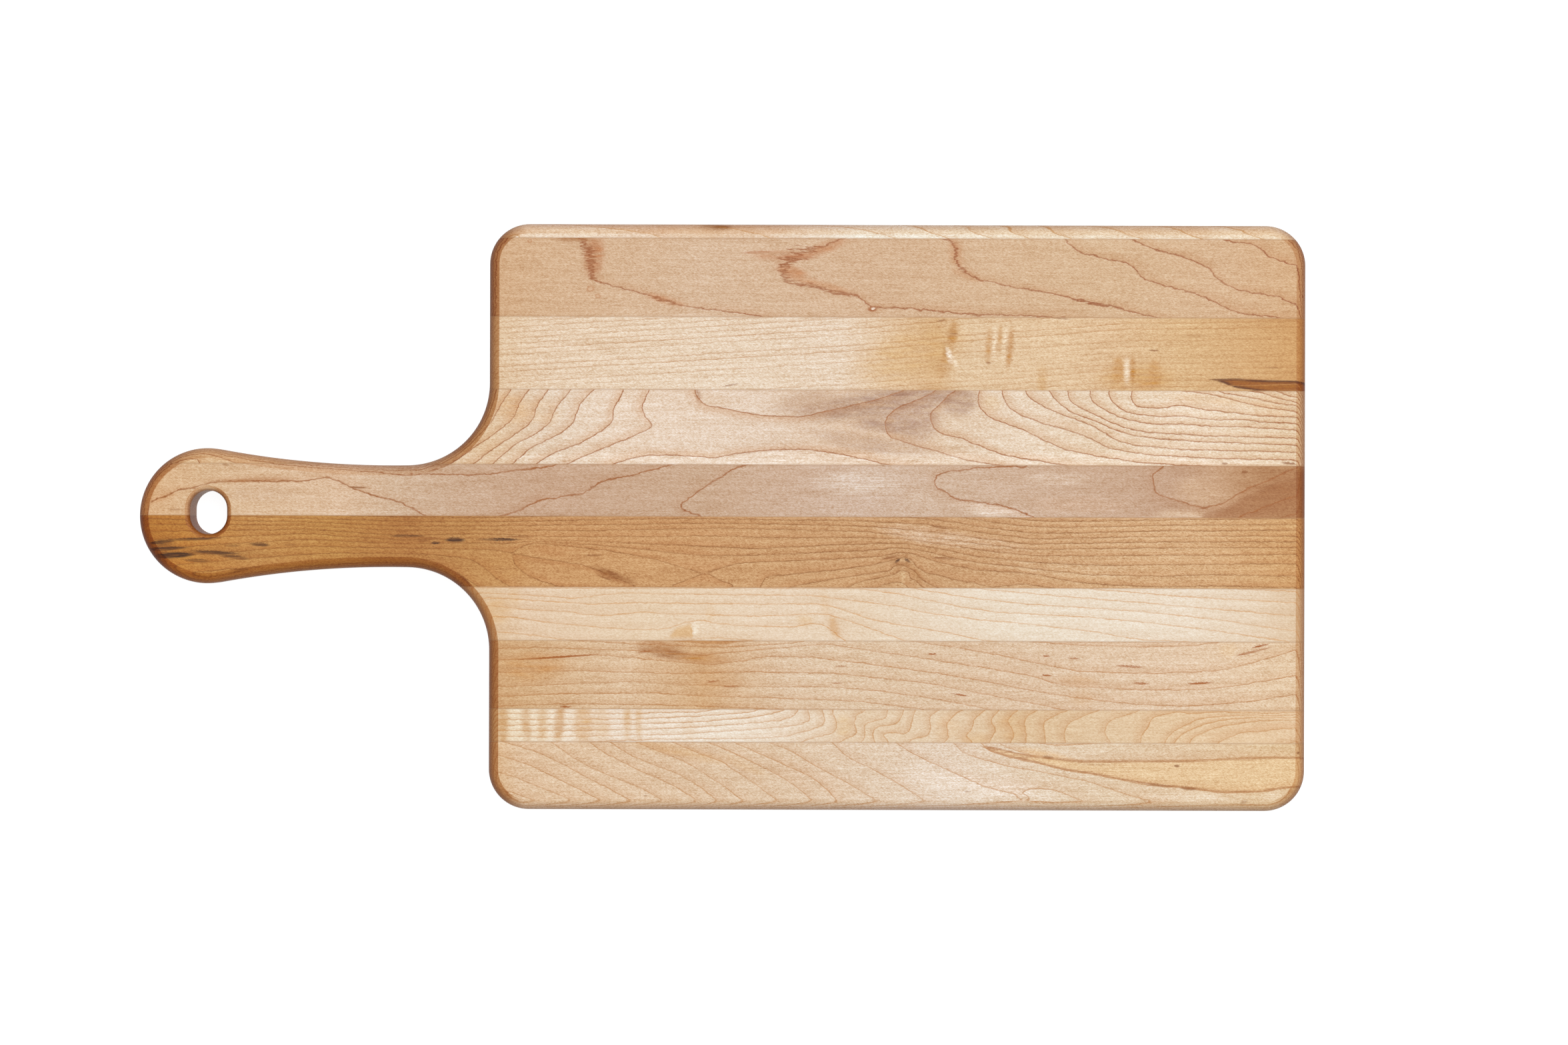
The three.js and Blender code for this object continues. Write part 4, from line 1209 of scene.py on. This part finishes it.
def oiled_maple(name, stave, joints):
    """Hard maple or cherry, planed, sanded and rubbed with oil. To the eye: a pale to amber ground,
    thin red-brown growth lines with a soft amber side, short silky fibre marks, brown pin flecks, end
    grain that has drunk the oil and gone dark, painted shade down the rim's steep walls and on the handle
    end, and a satin surface."""
    material, tree = blank_material(name)
    place = add(tree, "TexCoord", (), "Object")
    place = add(tree, "VectorMath", {0: place, "Scale": 1 / MM}, operation="SCALE")
    across = add(tree, "SeparateXYZ", (place,), "Y")
    normal = add(tree, "TexCoord", (), "Normal")
    grain = fibre_patterns(tree, place)
    colour = ground_and_stains(tree, stave, grain)
    colour = growth_lines(tree, stave, grain, colour)
    colour = fibre_shading(tree, stave, grain, colour)
    colour = pin_flecks(tree, stave, grain, place, colour)
    colour = soaked_joints(tree, joints, across, grain, colour)
    colour = oiled_and_shaded_rim(tree, stave, normal, colour)
    relief = add(tree, "Bump", {"Strength": 0.35, "Distance": 0.00008, "Height": grain["marks"]})
    satin = add(tree, "Math", (grain["streaks"], 0.12, 0.44), operation="MULTIPLY_ADD")
    surface = add(tree, "BsdfPrincipled", {
        "Base Color": colour, "Roughness": satin, "IOR": 1.45, "Specular IOR Level": 0.3,
        "Normal": relief,
    })
    add(tree, "OutputMaterial", (surface,))
    return material


def cured_glue(name):
    """Yellow wood glue, cured hard and cut flush: a hair-thin brown line, smoother than the wood."""
    material, tree = blank_material(name)
    place = add(tree, "TexCoord", (), "Object")
    beads = add(tree, "TexNoise", {"Vector": place, "Scale": 700.0, "Detail": 1.0}, "Fac")
    colour = add(tree, "Mix", {0: beads, UNDER: rgba(0x8A5E38), OVER: rgba(0xC79C6E)}, MIXED, **COLOURS)
    surface = add(tree, "BsdfPrincipled", {"Base Color": colour, "Roughness": 0.42, "IOR": 1.47})
    add(tree, "OutputMaterial", (surface,))
    return material


def lit_white_table(name):
    """A frosted white table lit from inside, so that it stays pale under the board and in its hole."""
    material, tree = blank_material(name)
    surface = add(tree, "BsdfPrincipled", {
        "Base Color": (0.22, 0.22, 0.22, 1), "Roughness": 0.9, "Specular IOR Level": 0.0,
        "Emission Color": (1, 1, 1, 1), "Emission Strength": 0.92,
    })
    add(tree, "OutputMaterial", (surface,))
    return material


# ---------------------------------------------------------------- the board
OFF_BOARD = 50  # the outer staves have no joint at the rim, so theirs is put this far outside it


def middle_y(node):
    """Where the middle of a CAD node lies across the board, in millimetres."""
    low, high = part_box(node)
    return (low.y + high.y) / 2 / MM


def build_board():
    """Cuts the plan into strips at the faces of the glue films and makes a shell of each strip."""
    films = [f"glue_line_{i}" for i in range(1, 10)]
    film_faces = []
    for film in films:
        low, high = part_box(film)
        film_faces += [high.y / MM, low.y / MM]
    corners, triangles, middle = board_plan(film_faces)
    strip = np.searchsorted(-np.array(film_faces), -middle[:, 1])
    x = middle[:, 0]

    # Strips that the waist or the hang hole parts: the piece on the handle's side, and where it ends.
    everywhere = np.ones(len(x), bool)
    glue = cured_glue("cured wood glue, cut flush")
    parted = {
        "stave_4": ("stave_4_knob_sliver", WAIST_X),
        "glue_line_4": ("glue_line_4_knob", WAIST_X),
        "glue_line_5": ("glue_line_5_knob_tip", HOLE_X),
    }
    joints = [HALF_WIDTH + OFF_BOARD] + [middle_y(film) for film in films] + [-HALF_WIDTH - OFF_BOARD]
    for i in range(len(film_faces) + 1):
        is_glue = i % 2 == 1
        node = films[i // 2] if is_glue else f"stave_{i // 2 + 1}"
        pieces = {node: everywhere}
        if node in parted:
            other, at = parted[node]
            pieces = {node: x > at, other: x <= at}
        if is_glue:
            material = glue
        else:
            stave = STAVES[node]
            material = oiled_maple(f"{node} oiled hardwood", stave, joints[i // 2: i // 2 + 2])
        for piece, own in pieces.items():
            shape = shell(corners, triangles[(strip == i) & own])
            fields = {} if is_glue else grain_fields(stave, shape["points"])
            kind = "film" if is_glue else "wood"
            add_piece(f"{piece}_{kind}", piece, shape, material, fields)


# ---------------------------------------------------------------- stage, light and camera
def lay_table():
    """A plain square sheet just under the board. It throws no light of its own on the board's sides."""
    half = 8.0
    gap = 0.0004
    mesh = bpy.data.meshes.new("table")
    ring = [(-half, -half, 0), (half, -half, 0), (half, half, 0), (-half, half, 0)]
    mesh.from_pydata([Vector(p) for p in ring], [], [(0, 1, 2, 3)])
    mesh.materials.append(lit_white_table("frosted white light table"))
    table = bpy.data.objects.new("table", mesh)
    table.location.z = cad_low.z - gap
    table.visible_diffuse = False
    bpy.context.scene.collection.objects.link(table)


def hang_softbox(name, place, size, power):
    """A square softbox that faces the middle of the board."""
    light = bpy.data.lights.new(name, "AREA")
    light.shape = "SQUARE"
    light.size = size
    light.energy = power
    lamp = bpy.data.objects.new(name, light)
    lamp.location = place
    lamp.rotation_euler = (-Vector(place)).to_track_quat("-Z", "Y").to_euler()
    bpy.context.scene.collection.objects.link(lamp)


def fill_room(strength):
    """Even white light from all round, as from the walls of a white studio."""
    world = bpy.data.worlds.new("white studio")
    world.use_nodes = True
    background = world.node_tree.nodes["Background"]
    background.inputs["Color"].default_value = (1, 1, 1, 1)
    background.inputs["Strength"].default_value = strength
    bpy.context.scene.world = world


def set_camera():
    """Straight down on the board from 1.38 m above its rim, which fills three quarters of the frame."""
    data = bpy.data.cameras.new("camera")
    data.sensor_width = 36.0
    frame_width = 0.6841  # at the height where the rim is widest
    distance = 1.380
    turn = 0.0027  # the board lies a hair askew in the frame
    data.lens = data.sensor_width * distance / frame_width
    camera = bpy.data.objects.new("camera", data)
    camera.location = (0.0269, -0.0023, distance + (THICKNESS - EDGE_ROUND) * MM)
    camera.rotation_euler = (0, 0, turn)
    bpy.context.scene.collection.objects.link(camera)
    bpy.context.scene.camera = camera


build_board()
lay_table()
hang_softbox("overhead softbox", place=(0.42, 0.5, 1.85), size=1.6, power=29.5)
fill_room(strength=0.42)
set_camera()
bpy.context.scene.view_settings.view_transform = "Standard"
